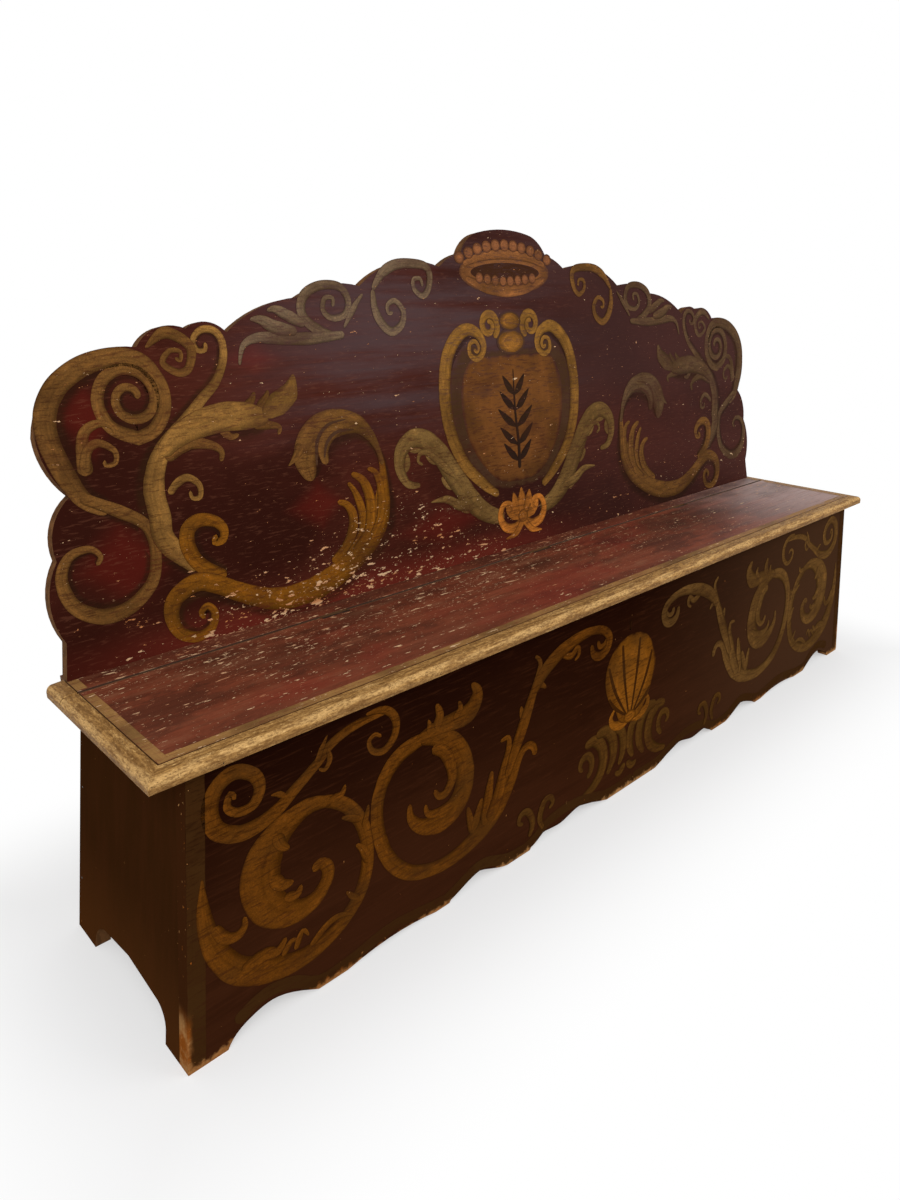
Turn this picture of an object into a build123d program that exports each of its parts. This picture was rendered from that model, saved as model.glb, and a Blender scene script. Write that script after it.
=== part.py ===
from build123d import *
import os
from math import cos, radians, sin, tan

# A painted chest-bench: a splayed plank chest, a hinged seat and a reclined, scalloped back.
# Millimetres. X runs along the bench, Y towards its back, Z up. The origin is the bottom centre.

# Chest: outside sizes at the floor, and how far each side leans in, in degrees
seat_height = 470.0
chest_length = 2087.0
chest_depth = 393.0
end_splay = 7.75
front_lean = 3.65
rear_lean = 3.15

# Boards
front_thickness = 26.0
end_thickness = 25.0
rear_thickness = 20.0
seat_thickness = 28.0
back_thickness = 20.0
bottom_thickness = 18.0
bottom_level = 100.0
rear_skirt = 40.0

# Apron along the foot of the front, and the arch under each end
apron_rise = 37.0
apron_drop_clearance = 2.5
front_foot = 61.5
end_foot = 70.0
end_arch_height = 58.0
end_arch_point = 68.0
end_arch_front_shoulder = 34.0
end_arch_rear_shoulder = 50.0

# Seat: lid, hinge rail and the moulding round them
seat_end_overhang = 27.0
lid_front_inset = 9.0
lid_gap = 1.5
lid_seat_clearance = 0.3
rail_width = 72.0
rail_arris = 3.0
moulding_width = 28.0
moulding_flat = 18.0
moulding_fall = 1.0
moulding_nose_depth = 13.0
moulding_lip_depth = 20.0
moulding_lip_step = 3.0
moulding_cove_foot = 10.0
quirk_width = 2.0
quirk_depth = 2.5
rail_moulding_tail = 10.0

# Back
back_setback = 29.0
back_height = 660.0
back_recline = 8.4
back_seam = 322.0

# Battens behind the back and under the lid
batten_width = 48.0
batten_thickness = 26.0
batten_foot = 150.0
batten_top = 480.0
batten_inset = 310.0
lid_batten_width = 60.0
lid_batten_thickness = 24.0
lid_batten_setback = 46.0
lid_batten_inset = 370.0
lid_batten_front_setback = 56.0

# Ledgers and cleats that carry the bottom
ledger_depth = 22.0
ledger_height = 24.0
bottom_board_gap = 1.0

# Hinges
hinge_spacing = 560.0
hinge_length = 60.0
hinge_rail_knuckle = 20.0
hinge_axis_depth = 5.5
knuckle_radius = 4.2
hinge_pin_radius = 1.9
leaf_thickness = 2.2
leaf_drop = 15.0
hinge_clearance = 0.5
pin_clearance = 0.08

# Keyhole and lock
keyhole_x = -25.0
keyhole_drop = 59.0
keyhole_radius = 5.0
keyhole_slot_width = 6.0
keyhole_slot_length = 15.0
lock_width = 112.0
lock_height = 76.0
lock_depth = 30.0
lock_wall = 2.0
lock_ear = 14.0
lock_rise = 8.0
bolt_length = 66.0
bolt_height = 9.0
bolt_depth = 6.5
bolt_travel = 18.0
bolt_level = 27.0
bolt_setback = 17.0
bolt_clearance = 0.25
bolt_tail = 12.0
guide_width = 6.0
guide_inset = 14.0
guide_wall = 3.5
staple_offset = 24.0
staple_thickness = 4.0
staple_wall = 4.0
staple_slack = 1.2
staple_foot_length = 44.0
staple_foot_width = 20.0
staple_foot_thickness = 2.0

# Nails and brads
nail_radius = 1.7
nail_head_radius = 4.0
nail_head_height = 1.2
nail_length = 60.0
short_nail_length = 38.0
brad_radius = 1.2
brad_length = 44.0
brad_sinking = 1.0
tack_radius = 1.0
tack_head_radius = 2.2
tack_head_height = 0.8
tack_length = 16.0
nail_fit = 0.05
nail_edge = 12.0
ledger_nail_count = 5
bottom_nail_count = 6
rail_nail_count = 4
rail_nail_inset = 100.0
front_brad_count = 6

# Levels and places that follow from the sizes above
spare = 20.0
half_length = chest_length / 2
chest_top = seat_height - seat_thickness
recline_sin = sin(radians(back_recline))
recline_cos = cos(radians(back_recline))
splay_slope = tan(radians(end_splay))
front_slope = tan(radians(front_lean))
rear_slope = tan(radians(rear_lean))

back_reach = back_height * recline_sin + back_thickness * recline_cos
overall_depth = chest_depth - seat_height * rear_slope - back_setback + back_reach
front_foot_y = -overall_depth / 2
rear_foot_y = front_foot_y + chest_depth
rail_rear_y = rear_foot_y - seat_height * rear_slope
rail_front_y = rail_rear_y - rail_width
back_foot_y = rail_rear_y - back_setback
lid_rear_y = rail_front_y - lid_gap
lid_front_y = front_foot_y + chest_top * front_slope + lid_front_inset
lid_bottom = chest_top + lid_seat_clearance
lid_thickness = seat_height - lid_bottom
seat_half = half_length - chest_top * splay_slope + seat_end_overhang
hinge_y = lid_rear_y - hinge_axis_depth
hinge_z = seat_height - hinge_axis_depth
mid_depth_y = (front_foot_y + rear_foot_y) / 2

# Outer faces, each with its normal pointing out of the chest
front_face = Plane(
    origin=(0, front_foot_y, 0),
    x_dir=(1, 0, 0),
    z_dir=(0, -cos(radians(front_lean)), sin(radians(front_lean))),
)
rear_face = Plane(
    origin=(0, rear_foot_y, 0),
    x_dir=(-1, 0, 0),
    z_dir=(0, cos(radians(rear_lean)), sin(radians(rear_lean))),
)
right_face = Plane(
    origin=(half_length, 0, 0),
    x_dir=(0, 1, 0),
    z_dir=(cos(radians(end_splay)), 0, sin(radians(end_splay))),
)
left_face = Plane(
    origin=(-half_length, 0, 0),
    x_dir=(0, -1, 0),
    z_dir=(-cos(radians(end_splay)), 0, sin(radians(end_splay))),
)
back_face = Plane(
    origin=(0, back_foot_y, seat_height),
    x_dir=(1, 0, 0),
    z_dir=(0, -recline_cos, recline_sin),
)
front_inside = front_face.offset(-front_thickness)
rear_inside = rear_face.offset(-rear_thickness)
right_inside = right_face.offset(-end_thickness)
left_inside = left_face.offset(-end_thickness)
back_rear = back_face.offset(-back_thickness)
batten_rear = back_rear.offset(-batten_thickness)


def cut_below(plane):
    """Keeps what lies behind a plane of the part that is being built."""
    split(bisect_by=plane, keep=Keep.BOTTOM)


def cut_above(plane):
    """Keeps what lies in front of a plane of the part that is being built."""
    split(bisect_by=plane, keep=Keep.TOP)


def level(height):
    return Plane.XY.offset(height)


def across(y):
    """A plane square to the depth, facing the back."""
    return Plane(origin=(0, y, 0), x_dir=(-1, 0, 0), z_dir=(0, 1, 0))


def facing(plane, x, y, turned=False):
    """A plane on a point of another plane, with the same normal or the opposite one."""
    normal = plane.z_dir * -1 if turned else plane.z_dir
    return Plane(origin=plane.from_local_coords((x, y, 0)), z_dir=normal)


def bore(planes, radius, depth):
    """Round holes into the part that is being built, down from each plane."""
    mouths = []
    for plane in planes:
        with BuildSketch(plane) as mouth:
            Circle(radius)
        mouths.extend(mouth.sketch.faces())
    extrude(mouths, amount=-depth, mode=Mode.SUBTRACT)


def drive(planes, radius, length, head_radius, head_height):
    """A group of nails, each with its head on a plane and its shank below it."""
    with BuildPart() as nails:
        for plane in planes:
            with BuildSketch(plane):
                Circle(radius)
        extrude(amount=-length)
        for plane in planes:
            with BuildSketch(plane):
                Circle(head_radius)
        extrude(amount=head_height)
    return nails


def drive_brads(planes, radius, length):
    """A group of headless brads, each sunk below its plane."""
    with BuildPart() as brads:
        for plane in planes:
            with BuildSketch(plane):
                Circle(radius)
        extrude(amount=-length)
    return brads


def spread(count, reach):
    """Places evenly spaced about zero, the outer ones at the reach."""
    return [reach * (2 * i / (count - 1) - 1) for i in range(count)]


def save(builder, name):
    builder.part.label = name
    export_step(builder.part, f"parts/{name}.step")


os.makedirs("parts", exist_ok=True)

# Places of the nails, shared by the nails and the boards that they go through
sides = (-1, 1)
end_nail_levels = [bottom_level, (bottom_level + chest_top) / 2, chest_top - 3 * nail_edge]
front_nail_planes = []
rear_nail_planes = []
for side in sides:
    end_face = right_face if side > 0 else left_face
    for z in end_nail_levels:
        x = side * (half_length - z * splay_slope - end_thickness / 2)
        front_nail_planes.append(facing(front_face, x, z / cos(radians(front_lean))))
        y = rear_foot_y - z * rear_slope - rear_thickness / 2
        rear_nail_planes.append(facing(end_face, side * y, z / cos(radians(end_splay))))

ledger_mid = bottom_level - ledger_height / 2
ledger_reach = half_length - bottom_level * splay_slope - end_thickness - 6 * nail_edge
front_ledger_face = front_inside.offset(-ledger_depth)
rear_ledger_face = rear_inside.offset(-ledger_depth)
right_cleat_face = right_inside.offset(-ledger_depth)
left_cleat_face = left_inside.offset(-ledger_depth)
front_ledger_nail_planes = []
rear_ledger_nail_planes = []
for x in spread(ledger_nail_count, ledger_reach):
    front_ledger_nail_planes.append(facing(front_ledger_face, x, ledger_mid, turned=True))
    rear_ledger_nail_planes.append(facing(rear_ledger_face, x, ledger_mid, turned=True))
cleat_reach = chest_depth / 2 - front_thickness - ledger_depth - 3 * nail_edge
right_cleat_nail_planes = []
left_cleat_nail_planes = []
for y in spread(2, cleat_reach):
    right_cleat_nail_planes.append(facing(right_cleat_face, mid_depth_y + y, ledger_mid, turned=True))
    left_cleat_nail_planes.append(facing(left_cleat_face, -mid_depth_y - y, ledger_mid, turned=True))

bottom_top = bottom_level + bottom_thickness
front_ledger_y = front_foot_y + bottom_level * front_slope + front_thickness + ledger_depth / 2
rear_ledger_y = rear_foot_y - bottom_level * rear_slope - rear_thickness - ledger_depth / 2
bottom_nail_planes = []
for x in spread(bottom_nail_count, ledger_reach - 3 * nail_edge):
    for y in (front_ledger_y, rear_ledger_y):
        bottom_nail_planes.append(Plane(origin=(x, y, bottom_top), z_dir=(0, 0, 1)))

back_batten_reach = seat_half - batten_inset
back_batten_places = [-back_batten_reach, 0.0, back_batten_reach]
batten_nail_planes = []
for x in back_batten_places:
    for z in (batten_foot + 3 * nail_edge, chest_top - 3 * nail_edge):
        batten_nail_planes.append(facing(rear_face.offset(batten_thickness), -x, z))
    for s in (back_seam / 4, back_seam * 3 / 4, (back_seam + batten_top) / 2):
        batten_nail_planes.append(facing(batten_rear, x, s, turned=True))

rail_nail_y = rail_rear_y - nail_head_radius - nail_fit
rail_nail_planes = []
for x in spread(rail_nail_count, seat_half - rail_nail_inset):
    rail_nail_planes.append(Plane(origin=(x, rail_nail_y, seat_height), z_dir=(0, 0, 1)))

lid_batten_reach = seat_half - lid_batten_inset
lid_batten_places = [-lid_batten_reach, 0.0, lid_batten_reach]
lid_batten_front_y = lid_front_y + lid_batten_front_setback
lid_batten_rear_y = lid_rear_y - lid_batten_setback
lid_batten_mid_y = (lid_batten_front_y + lid_batten_rear_y) / 2
lid_batten_half = (lid_batten_rear_y - lid_batten_front_y) / 2
lid_batten_bottom = lid_bottom - lid_batten_thickness
lid_nail_planes = []
for x in lid_batten_places:
    for y in spread(3, lid_batten_half - 2 * nail_edge):
        lid_nail_planes.append(
            Plane(origin=(x, lid_batten_mid_y + y, lid_batten_bottom), z_dir=(0, 0, -1))
        )

brad_z = seat_height - (moulding_nose_depth + moulding_lip_depth) / 2
front_brad_planes = []
for x in spread(front_brad_count, seat_half - 6 * nail_edge):
    front_brad_planes.append(
        Plane(origin=(x, lid_front_y - moulding_width, brad_z), z_dir=(0, -1, 0))
    )
lid_mid_y = (lid_front_y + lid_rear_y) / 2
side_brad_planes = []
rail_brad_planes = []
for side in sides:
    x = side * (seat_half + moulding_width)
    for y in spread(2, (lid_rear_y - lid_front_y) / 2 - 3 * nail_edge):
        side_brad_planes.append(Plane(origin=(x, lid_mid_y + y, brad_z), z_dir=(side, 0, 0)))
    rail_brad_y = (rail_front_y + back_foot_y + rail_moulding_tail) / 2
    rail_brad_planes.append(Plane(origin=(x, rail_brad_y, brad_z), z_dir=(side, 0, 0)))

hinge_places = [-hinge_spacing, 0.0, hinge_spacing]
leaf_front_y = hinge_y - knuckle_radius - hinge_clearance
leaf_tack_z = hinge_z - leaf_drop + 2 * tack_head_radius
tack_reach = (hinge_length + hinge_rail_knuckle) / 4
lid_tack_planes = []
rail_tack_planes = []
for x in hinge_places:
    for dx in (-tack_reach, tack_reach):
        lid_tack_planes.append(
            Plane(origin=(x + dx, leaf_front_y + leaf_thickness, leaf_tack_z), z_dir=(0, 1, 0))
        )
        rail_tack_planes.append(
            Plane(origin=(x + dx, rail_front_y, leaf_tack_z), z_dir=(0, -1, 0))
        )

keyhole_s = (chest_top - keyhole_drop) / cos(radians(front_lean))
lock_base = Plane(
    origin=front_inside.from_local_coords((keyhole_x, keyhole_s, 0)),
    x_dir=(-1, 0, 0),
    z_dir=front_face.z_dir * -1,
)
lock_nail_planes = []
for dx in spread(2, lock_width / 2 + lock_ear / 2):
    for dy in spread(2, lock_height / 2 - nail_edge):
        lock_nail_planes.append(facing(lock_base.offset(lock_wall), dx, lock_rise + dy))

bolt_centre = lock_base.from_local_coords((0, bolt_level, bolt_setback))
staple_x = keyhole_x + staple_offset
staple_tack_planes = []
for dx in spread(2, staple_foot_length / 2 - 2 * tack_head_radius):
    staple_tack_planes.append(
        Plane(
            origin=(staple_x + dx, bolt_centre.Y, lid_bottom - staple_foot_thickness),
            z_dir=(0, 0, -1),
        )
    )

# Chest
apron_swells = [
    [(0.126, 0.43), (0.182, 0.81), (0.234, 0.51), (0.288, 0.62)],
    [(0.422, 0.46), (0.470, 0.86), (0.502, 0.62)],
    [(0.647, 0.32)],
    [(0.831, 0.70), (0.867, 1.00), (0.898, 0.86), (0.925, 0.51)],
]
apron_drops = [(0.0, 0.086), (0.321, 0.381), (0.525, 0.556), (0.738, 0.791)]
foot_inner = half_length - front_foot


def apron_point(share, rise):
    """A point of the apron: a share of the half length, and a share of the rise."""
    return (share * half_length, max(rise * apron_rise, apron_drop_clearance))


with BuildPart() as front_panel:
    with BuildSketch(front_face):
        with BuildLine():
            for (drop_start, drop_end), swell in zip(apron_drops, apron_swells):
                Line(apron_point(drop_start, 0), apron_point(drop_end, 0))
                nexts = [drop[0] for drop in apron_drops if drop[0] > drop_end]
                swell_end = apron_point(nexts[0], 0) if nexts else (foot_inner, 0)
                Spline(
                    apron_point(drop_end, 0),
                    *[apron_point(share, rise) for share, rise in swell],
                    swell_end,
                )
            Polyline(
                (foot_inner, 0),
                (foot_inner, -spare),
                (half_length + spare, -spare),
                (half_length + spare, chest_top + spare),
                (0, chest_top + spare),
            )
            mirror(about=Plane.YZ)
        make_face()
    extrude(amount=-front_thickness)
    for face in (right_face, left_face, level(chest_top)):
        cut_below(face)
    cut_above(level(0))
    with BuildSketch(front_face):
        with Locations((keyhole_x, keyhole_s)):
            Circle(keyhole_radius)
        with Locations((keyhole_x, keyhole_s - keyhole_slot_length / 2)):
            Rectangle(keyhole_slot_width, keyhole_slot_length)
    extrude(amount=-front_thickness, mode=Mode.SUBTRACT)
    bore(front_nail_planes, nail_radius + nail_fit, nail_length)
    bore(front_ledger_nail_planes, nail_radius + nail_fit, short_nail_length)
    bore(lock_nail_planes, tack_radius + nail_fit, tack_length)
save(front_panel, "front_panel")

with BuildPart() as right_end:
    with BuildSketch(right_face):
        with Locations((mid_depth_y, (chest_top + spare) / 2)):
            Rectangle(chest_depth + 2 * spare, chest_top + 3 * spare)
        with BuildLine():
            arch_half = chest_depth / 2 - end_foot
            for side, round_size in ((-1, end_arch_front_shoulder), (1, end_arch_rear_shoulder)):
                bend = round_size * (1 - cos(radians(45)))
                arch_foot = end_arch_height - round_size
                foot = mid_depth_y + side * arch_half
                shoulder = foot - side * round_size
                Line((foot, -spare), (foot, arch_foot))
                ThreePointArc(
                    (foot, arch_foot),
                    (foot - side * bend, end_arch_height - bend),
                    (shoulder, end_arch_height),
                )
                Line((shoulder, end_arch_height), (mid_depth_y, end_arch_point))
            Line((mid_depth_y - arch_half, -spare), (mid_depth_y + arch_half, -spare))
        make_face(mode=Mode.SUBTRACT)
    extrude(amount=-end_thickness)
    for face in (front_inside, rear_face, level(chest_top)):
        cut_below(face)
    cut_above(level(0))
    bore(front_nail_planes, nail_radius + nail_fit, nail_length)
    bore(rear_nail_planes, nail_radius + nail_fit, nail_length)
    bore(right_cleat_nail_planes, nail_radius + nail_fit, short_nail_length)
save(right_end, "right_end")

with BuildPart() as left_end:
    mirror(right_end.part, about=Plane.YZ)
save(left_end, "left_end")

with BuildPart() as rear_panel:
    with BuildSketch(rear_face):
        with Locations((0, chest_top / 2)):
            Rectangle(chest_length, chest_top + 2 * spare)
    extrude(amount=-rear_thickness)
    for face in (right_inside, left_inside, level(chest_top)):
        cut_below(face)
    cut_above(level(rear_skirt))
    bore(rear_nail_planes, nail_radius + nail_fit, nail_length)
    bore(rear_ledger_nail_planes, nail_radius + nail_fit, short_nail_length)
    bore(batten_nail_planes, nail_radius + nail_fit, short_nail_length)
    bore(rail_nail_planes, nail_radius + nail_fit, nail_length)
save(rear_panel, "rear_panel")


def bottom_slab(low, height, sides_in):
    """A level slab that fills the chest between faces, in the part that is being built."""
    with BuildSketch(level(low)) as plan:
        with Locations((0, mid_depth_y)):
            Rectangle(chest_length, chest_depth)
    extrude(plan.sketch, amount=height)
    for face in sides_in:
        cut_below(face)


with BuildPart() as bottom_board_front:
    bottom_slab(bottom_level, bottom_thickness, (front_inside, right_inside, left_inside))
    cut_below(across(mid_depth_y - bottom_board_gap / 2))
    bore(bottom_nail_planes, nail_radius + nail_fit, short_nail_length)
save(bottom_board_front, "bottom_board_front")

with BuildPart() as bottom_board_rear:
    bottom_slab(bottom_level, bottom_thickness, (rear_inside, right_inside, left_inside))
    cut_above(across(mid_depth_y + bottom_board_gap / 2))
    bore(bottom_nail_planes, nail_radius + nail_fit, short_nail_length)
save(bottom_board_rear, "bottom_board_rear")

ledger_low = bottom_level - ledger_height
with BuildPart() as ledger_front:
    bottom_slab(ledger_low, ledger_height, (front_inside, right_inside, left_inside))
    cut_above(front_ledger_face)
    bore(bottom_nail_planes, nail_radius + nail_fit, short_nail_length)
    bore(front_ledger_nail_planes, nail_radius + nail_fit, short_nail_length)
save(ledger_front, "ledger_front")

with BuildPart() as ledger_rear:
    bottom_slab(ledger_low, ledger_height, (rear_inside, right_inside, left_inside))
    cut_above(rear_ledger_face)
    bore(bottom_nail_planes, nail_radius + nail_fit, short_nail_length)
    bore(rear_ledger_nail_planes, nail_radius + nail_fit, short_nail_length)
save(ledger_rear, "ledger_rear")

with BuildPart() as cleat_right:
    bottom_slab(
        ledger_low,
        ledger_height,
        (right_inside, front_ledger_face, rear_ledger_face),
    )
    cut_above(right_cleat_face)
    bore(right_cleat_nail_planes, nail_radius + nail_fit, short_nail_length)
save(cleat_right, "cleat_right")

with BuildPart() as cleat_left:
    mirror(cleat_right.part, about=Plane.YZ)
save(cleat_left, "cleat_left")

save(drive_brads(front_nail_planes, nail_radius, nail_length - nail_fit), "front_nails")
save(drive_brads(rear_nail_planes, nail_radius, nail_length - nail_fit), "rear_nails")
bottom_nails = drive(
    bottom_nail_planes, nail_radius, short_nail_length - nail_fit, nail_head_radius, nail_head_height
)
save(bottom_nails, "bottom_nails")
ledger_nails = drive(
    front_ledger_nail_planes + rear_ledger_nail_planes + right_cleat_nail_planes + left_cleat_nail_planes,
    nail_radius,
    short_nail_length - nail_fit,
    nail_head_radius,
    nail_head_height,
)
save(ledger_nails, "ledger_nails")


# Seat
def moulding(plane, length):
    """A run of moulding in the part that is being built: its section drawn from the groove
    outwards and from the seat's top down, then drawn out along the plane's normal."""
    lip = moulding_width - moulding_lip_step
    with BuildSketch(plane) as section:
        with BuildLine():
            Polyline(
                (moulding_cove_foot, -lid_thickness),
                (0, -lid_thickness),
                (0, -quirk_depth),
                (quirk_width, -quirk_depth),
                (quirk_width, 0),
                (moulding_flat, -moulding_fall),
            )
            EllipticalCenterArc(
                center=(moulding_flat, -moulding_nose_depth),
                x_radius=moulding_width - moulding_flat,
                y_radius=moulding_nose_depth - moulding_fall,
                start_angle=0,
                arc_size=90,
            )
            Polyline(
                (moulding_width, -moulding_nose_depth),
                (moulding_width, -moulding_lip_depth),
                (lip, -moulding_lip_depth),
            )
            EllipticalCenterArc(
                center=(lip, -lid_thickness),
                x_radius=lip - moulding_cove_foot,
                y_radius=lid_thickness - moulding_lip_depth,
                start_angle=90,
                arc_size=90,
            )
        make_face()
    extrude(section.sketch, amount=length)


def mitre(side):
    """The upright plane that parts the front moulding from the one at an end."""
    return Plane(origin=(side * seat_half, lid_front_y, 0), z_dir=(side, 1, 0))


def round_rear_arris():
    """Rounds the rear upper edge of the lid about the hinge axis."""
    with BuildSketch(Plane.YZ.offset(-seat_half - moulding_width - spare)) as corner:
        with Locations((hinge_y + hinge_axis_depth / 2, hinge_z + hinge_axis_depth / 2)):
            Rectangle(hinge_axis_depth, hinge_axis_depth)
        with Locations((hinge_y, hinge_z)):
            Circle(hinge_axis_depth, mode=Mode.SUBTRACT)
    full_length = 2 * (seat_half + moulding_width + spare)
    extrude(corner.sketch, amount=full_length, mode=Mode.SUBTRACT)


def ease_rail_arris():
    """Eases the front upper edge of the rail, which the open lid leans over."""
    with BuildSketch(Plane.YZ.offset(-seat_half - moulding_width - spare)) as corner:
        with Locations((rail_front_y + rail_arris / 2, seat_height - rail_arris / 2)):
            Rectangle(rail_arris, rail_arris)
        with Locations((rail_front_y + rail_arris, seat_height - rail_arris)):
            Circle(rail_arris, mode=Mode.SUBTRACT)
    full_length = 2 * (seat_half + moulding_width + spare)
    extrude(corner.sketch, amount=full_length, mode=Mode.SUBTRACT)


with BuildPart() as lid_plank:
    with BuildSketch(level(lid_bottom)):
        with Locations((0, lid_mid_y)):
            Rectangle(2 * seat_half, lid_rear_y - lid_front_y)
    extrude(amount=lid_thickness)
    chamfer(
        lid_plank.edges().group_by(Axis.Z)[0].sort_by(Axis.Y)[-1],
        length=hinge_axis_depth,
    )
    round_rear_arris()
    pocket_depth = lid_rear_y - leaf_front_y
    with BuildSketch(level(hinge_z - leaf_drop - hinge_clearance)):
        for x in hinge_places:
            with Locations((x, lid_rear_y - pocket_depth / 2)):
                Rectangle(hinge_length + 2 * hinge_clearance, pocket_depth)
    extrude(amount=seat_thickness, mode=Mode.SUBTRACT)
    bore(lid_nail_planes, nail_radius + nail_fit, short_nail_length)
    bore(front_brad_planes, brad_radius + nail_fit, brad_length + brad_sinking)
    bore(side_brad_planes, brad_radius + nail_fit, brad_length + brad_sinking)
    bore(lid_tack_planes, tack_radius + nail_fit, tack_length)
    bore(staple_tack_planes, tack_radius + nail_fit, tack_length)
save(lid_plank, "lid_plank")

with BuildPart() as lid_moulding_front:
    corner = (seat_half + moulding_width, lid_front_y, seat_height)
    moulding(Plane(origin=corner, x_dir=(0, -1, 0), z_dir=(-1, 0, 0)), 2 * corner[0])
    for side in sides:
        cut_below(mitre(side))
    bore(front_brad_planes, brad_radius + nail_fit, brad_length + brad_sinking)
save(lid_moulding_front, "lid_moulding_front")

with BuildPart() as lid_moulding_right:
    corner = (seat_half, lid_rear_y, seat_height)
    moulding(
        Plane(origin=corner, x_dir=(1, 0, 0), z_dir=(0, -1, 0)),
        lid_rear_y - lid_front_y + moulding_width,
    )
    cut_above(mitre(1))
    round_rear_arris()
    bore(side_brad_planes, brad_radius + nail_fit, brad_length + brad_sinking)
save(lid_moulding_right, "lid_moulding_right")

with BuildPart() as lid_moulding_left:
    mirror(lid_moulding_right.part, about=Plane.YZ)
save(lid_moulding_left, "lid_moulding_left")

batten_names = ("left", "middle", "right")
for name, x in zip(batten_names, lid_batten_places):
    with BuildPart() as lid_batten:
        with BuildSketch(level(lid_batten_bottom)):
            with Locations((x, lid_batten_mid_y)):
                Rectangle(lid_batten_width, 2 * lid_batten_half)
        extrude(amount=lid_batten_thickness)
        chamfer(
            lid_batten.edges().group_by(Axis.Z)[0].filter_by(Axis.X),
            length=lid_batten_thickness / 2,
        )
        bore(lid_nail_planes, nail_radius + nail_fit, short_nail_length)
    save(lid_batten, f"lid_batten_{name}")

with BuildPart() as hinge_rail:
    with BuildSketch(level(chest_top)):
        with Locations((0, rail_front_y + rail_width / 2 + spare / 2)):
            Rectangle(2 * seat_half, rail_width + spare)
    extrude(amount=seat_thickness)
    cut_below(rear_face)
    ease_rail_arris()
    with BuildSketch(level(hinge_z - leaf_drop - hinge_clearance)):
        for x in hinge_places:
            with Locations((x, rail_front_y + leaf_thickness / 2)):
                Rectangle(hinge_length + 2 * hinge_clearance, leaf_thickness)
    extrude(amount=seat_thickness, mode=Mode.SUBTRACT)
    bore(rail_nail_planes, nail_radius + nail_fit, nail_length)
    bore(rail_brad_planes, brad_radius + nail_fit, brad_length + brad_sinking)
    bore(rail_tack_planes, tack_radius + nail_fit, tack_length)
save(hinge_rail, "hinge_rail")

with BuildPart() as rail_moulding_right:
    corner = (seat_half, back_foot_y + rail_moulding_tail, seat_height)
    moulding(
        Plane(origin=corner, x_dir=(1, 0, 0), z_dir=(0, -1, 0)),
        back_foot_y + rail_moulding_tail - rail_front_y,
    )
    ease_rail_arris()
    bore(rail_brad_planes, brad_radius + nail_fit, brad_length + brad_sinking)
save(rail_moulding_right, "rail_moulding_right")

with BuildPart() as rail_moulding_left:
    mirror(rail_moulding_right.part, about=Plane.YZ)
save(rail_moulding_left, "rail_moulding_left")

lid_nails = drive(
    lid_nail_planes, nail_radius, short_nail_length - nail_fit, nail_head_radius, nail_head_height
)
save(lid_nails, "lid_batten_nails")
rail_nails = drive(
    rail_nail_planes, nail_radius, nail_length - nail_fit, nail_head_radius, nail_head_height
)
save(rail_nails, "rail_nails")
lid_brad_planes = [plane.offset(-brad_sinking) for plane in front_brad_planes + side_brad_planes]
save(drive_brads(lid_brad_planes, brad_radius, brad_length - nail_fit), "lid_moulding_brads")
fixed_brad_planes = [plane.offset(-brad_sinking) for plane in rail_brad_planes]
save(drive_brads(fixed_brad_planes, brad_radius, brad_length - nail_fit), "rail_moulding_brads")

# Hinges
knuckle_half = hinge_rail_knuckle / 2
lid_knuckle_length = hinge_length / 2 - knuckle_half - hinge_clearance


def barrel(x, length):
    """One knuckle about the hinge axis, in the part that is being built."""
    with BuildSketch(Plane.YZ.offset(x)) as ring:
        with Locations((hinge_y, hinge_z)):
            Circle(knuckle_radius)
    extrude(ring.sketch, amount=length)


def pin_bore(x):
    """The bore for the pin right through a leaf."""
    with BuildSketch(Plane.YZ.offset(x - hinge_length)) as eye:
        with Locations((hinge_y, hinge_z)):
            Circle(hinge_pin_radius + pin_clearance)
    extrude(eye.sketch, amount=2 * hinge_length, mode=Mode.SUBTRACT)


for number, x in enumerate(hinge_places, start=1):
    with BuildPart() as lid_leaf:
        with BuildSketch(level(hinge_z - leaf_drop)):
            with Locations((x, leaf_front_y + leaf_thickness / 2)):
                Rectangle(hinge_length, leaf_thickness)
        extrude(amount=leaf_drop)
        barrel(x - hinge_length / 2, lid_knuckle_length)
        barrel(x + knuckle_half + hinge_clearance, lid_knuckle_length)
        with BuildSketch(Plane.YZ.offset(x - knuckle_half - hinge_clearance)):
            with Locations((hinge_y, hinge_z)):
                Circle(knuckle_radius + hinge_clearance)
        extrude(amount=hinge_rail_knuckle + 2 * hinge_clearance, mode=Mode.SUBTRACT)
        pin_bore(x)
        bore(lid_tack_planes, tack_radius + nail_fit, tack_length)
    save(lid_leaf, f"hinge_{number}_lid_leaf")

    with BuildPart() as rail_leaf:
        with BuildSketch(level(hinge_z - leaf_drop)):
            with Locations((x, rail_front_y + leaf_thickness / 2)):
                Rectangle(hinge_length, leaf_thickness)
        extrude(amount=leaf_drop + leaf_thickness / 2)
        with BuildSketch(level(hinge_z - leaf_thickness / 2)):
            with Locations((x, (hinge_y + rail_front_y) / 2)):
                Rectangle(hinge_rail_knuckle, rail_front_y - hinge_y)
        extrude(amount=leaf_thickness)
        barrel(x - knuckle_half, hinge_rail_knuckle)
        pin_bore(x)
        bore(rail_tack_planes, tack_radius + nail_fit, tack_length)
    save(rail_leaf, f"hinge_{number}_rail_leaf")

    with BuildPart() as hinge_pin:
        with BuildSketch(Plane.YZ.offset(x - hinge_length / 2)):
            with Locations((hinge_y, hinge_z)):
                Circle(hinge_pin_radius)
        extrude(amount=hinge_length)
    save(hinge_pin, f"hinge_{number}_pin")

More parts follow.
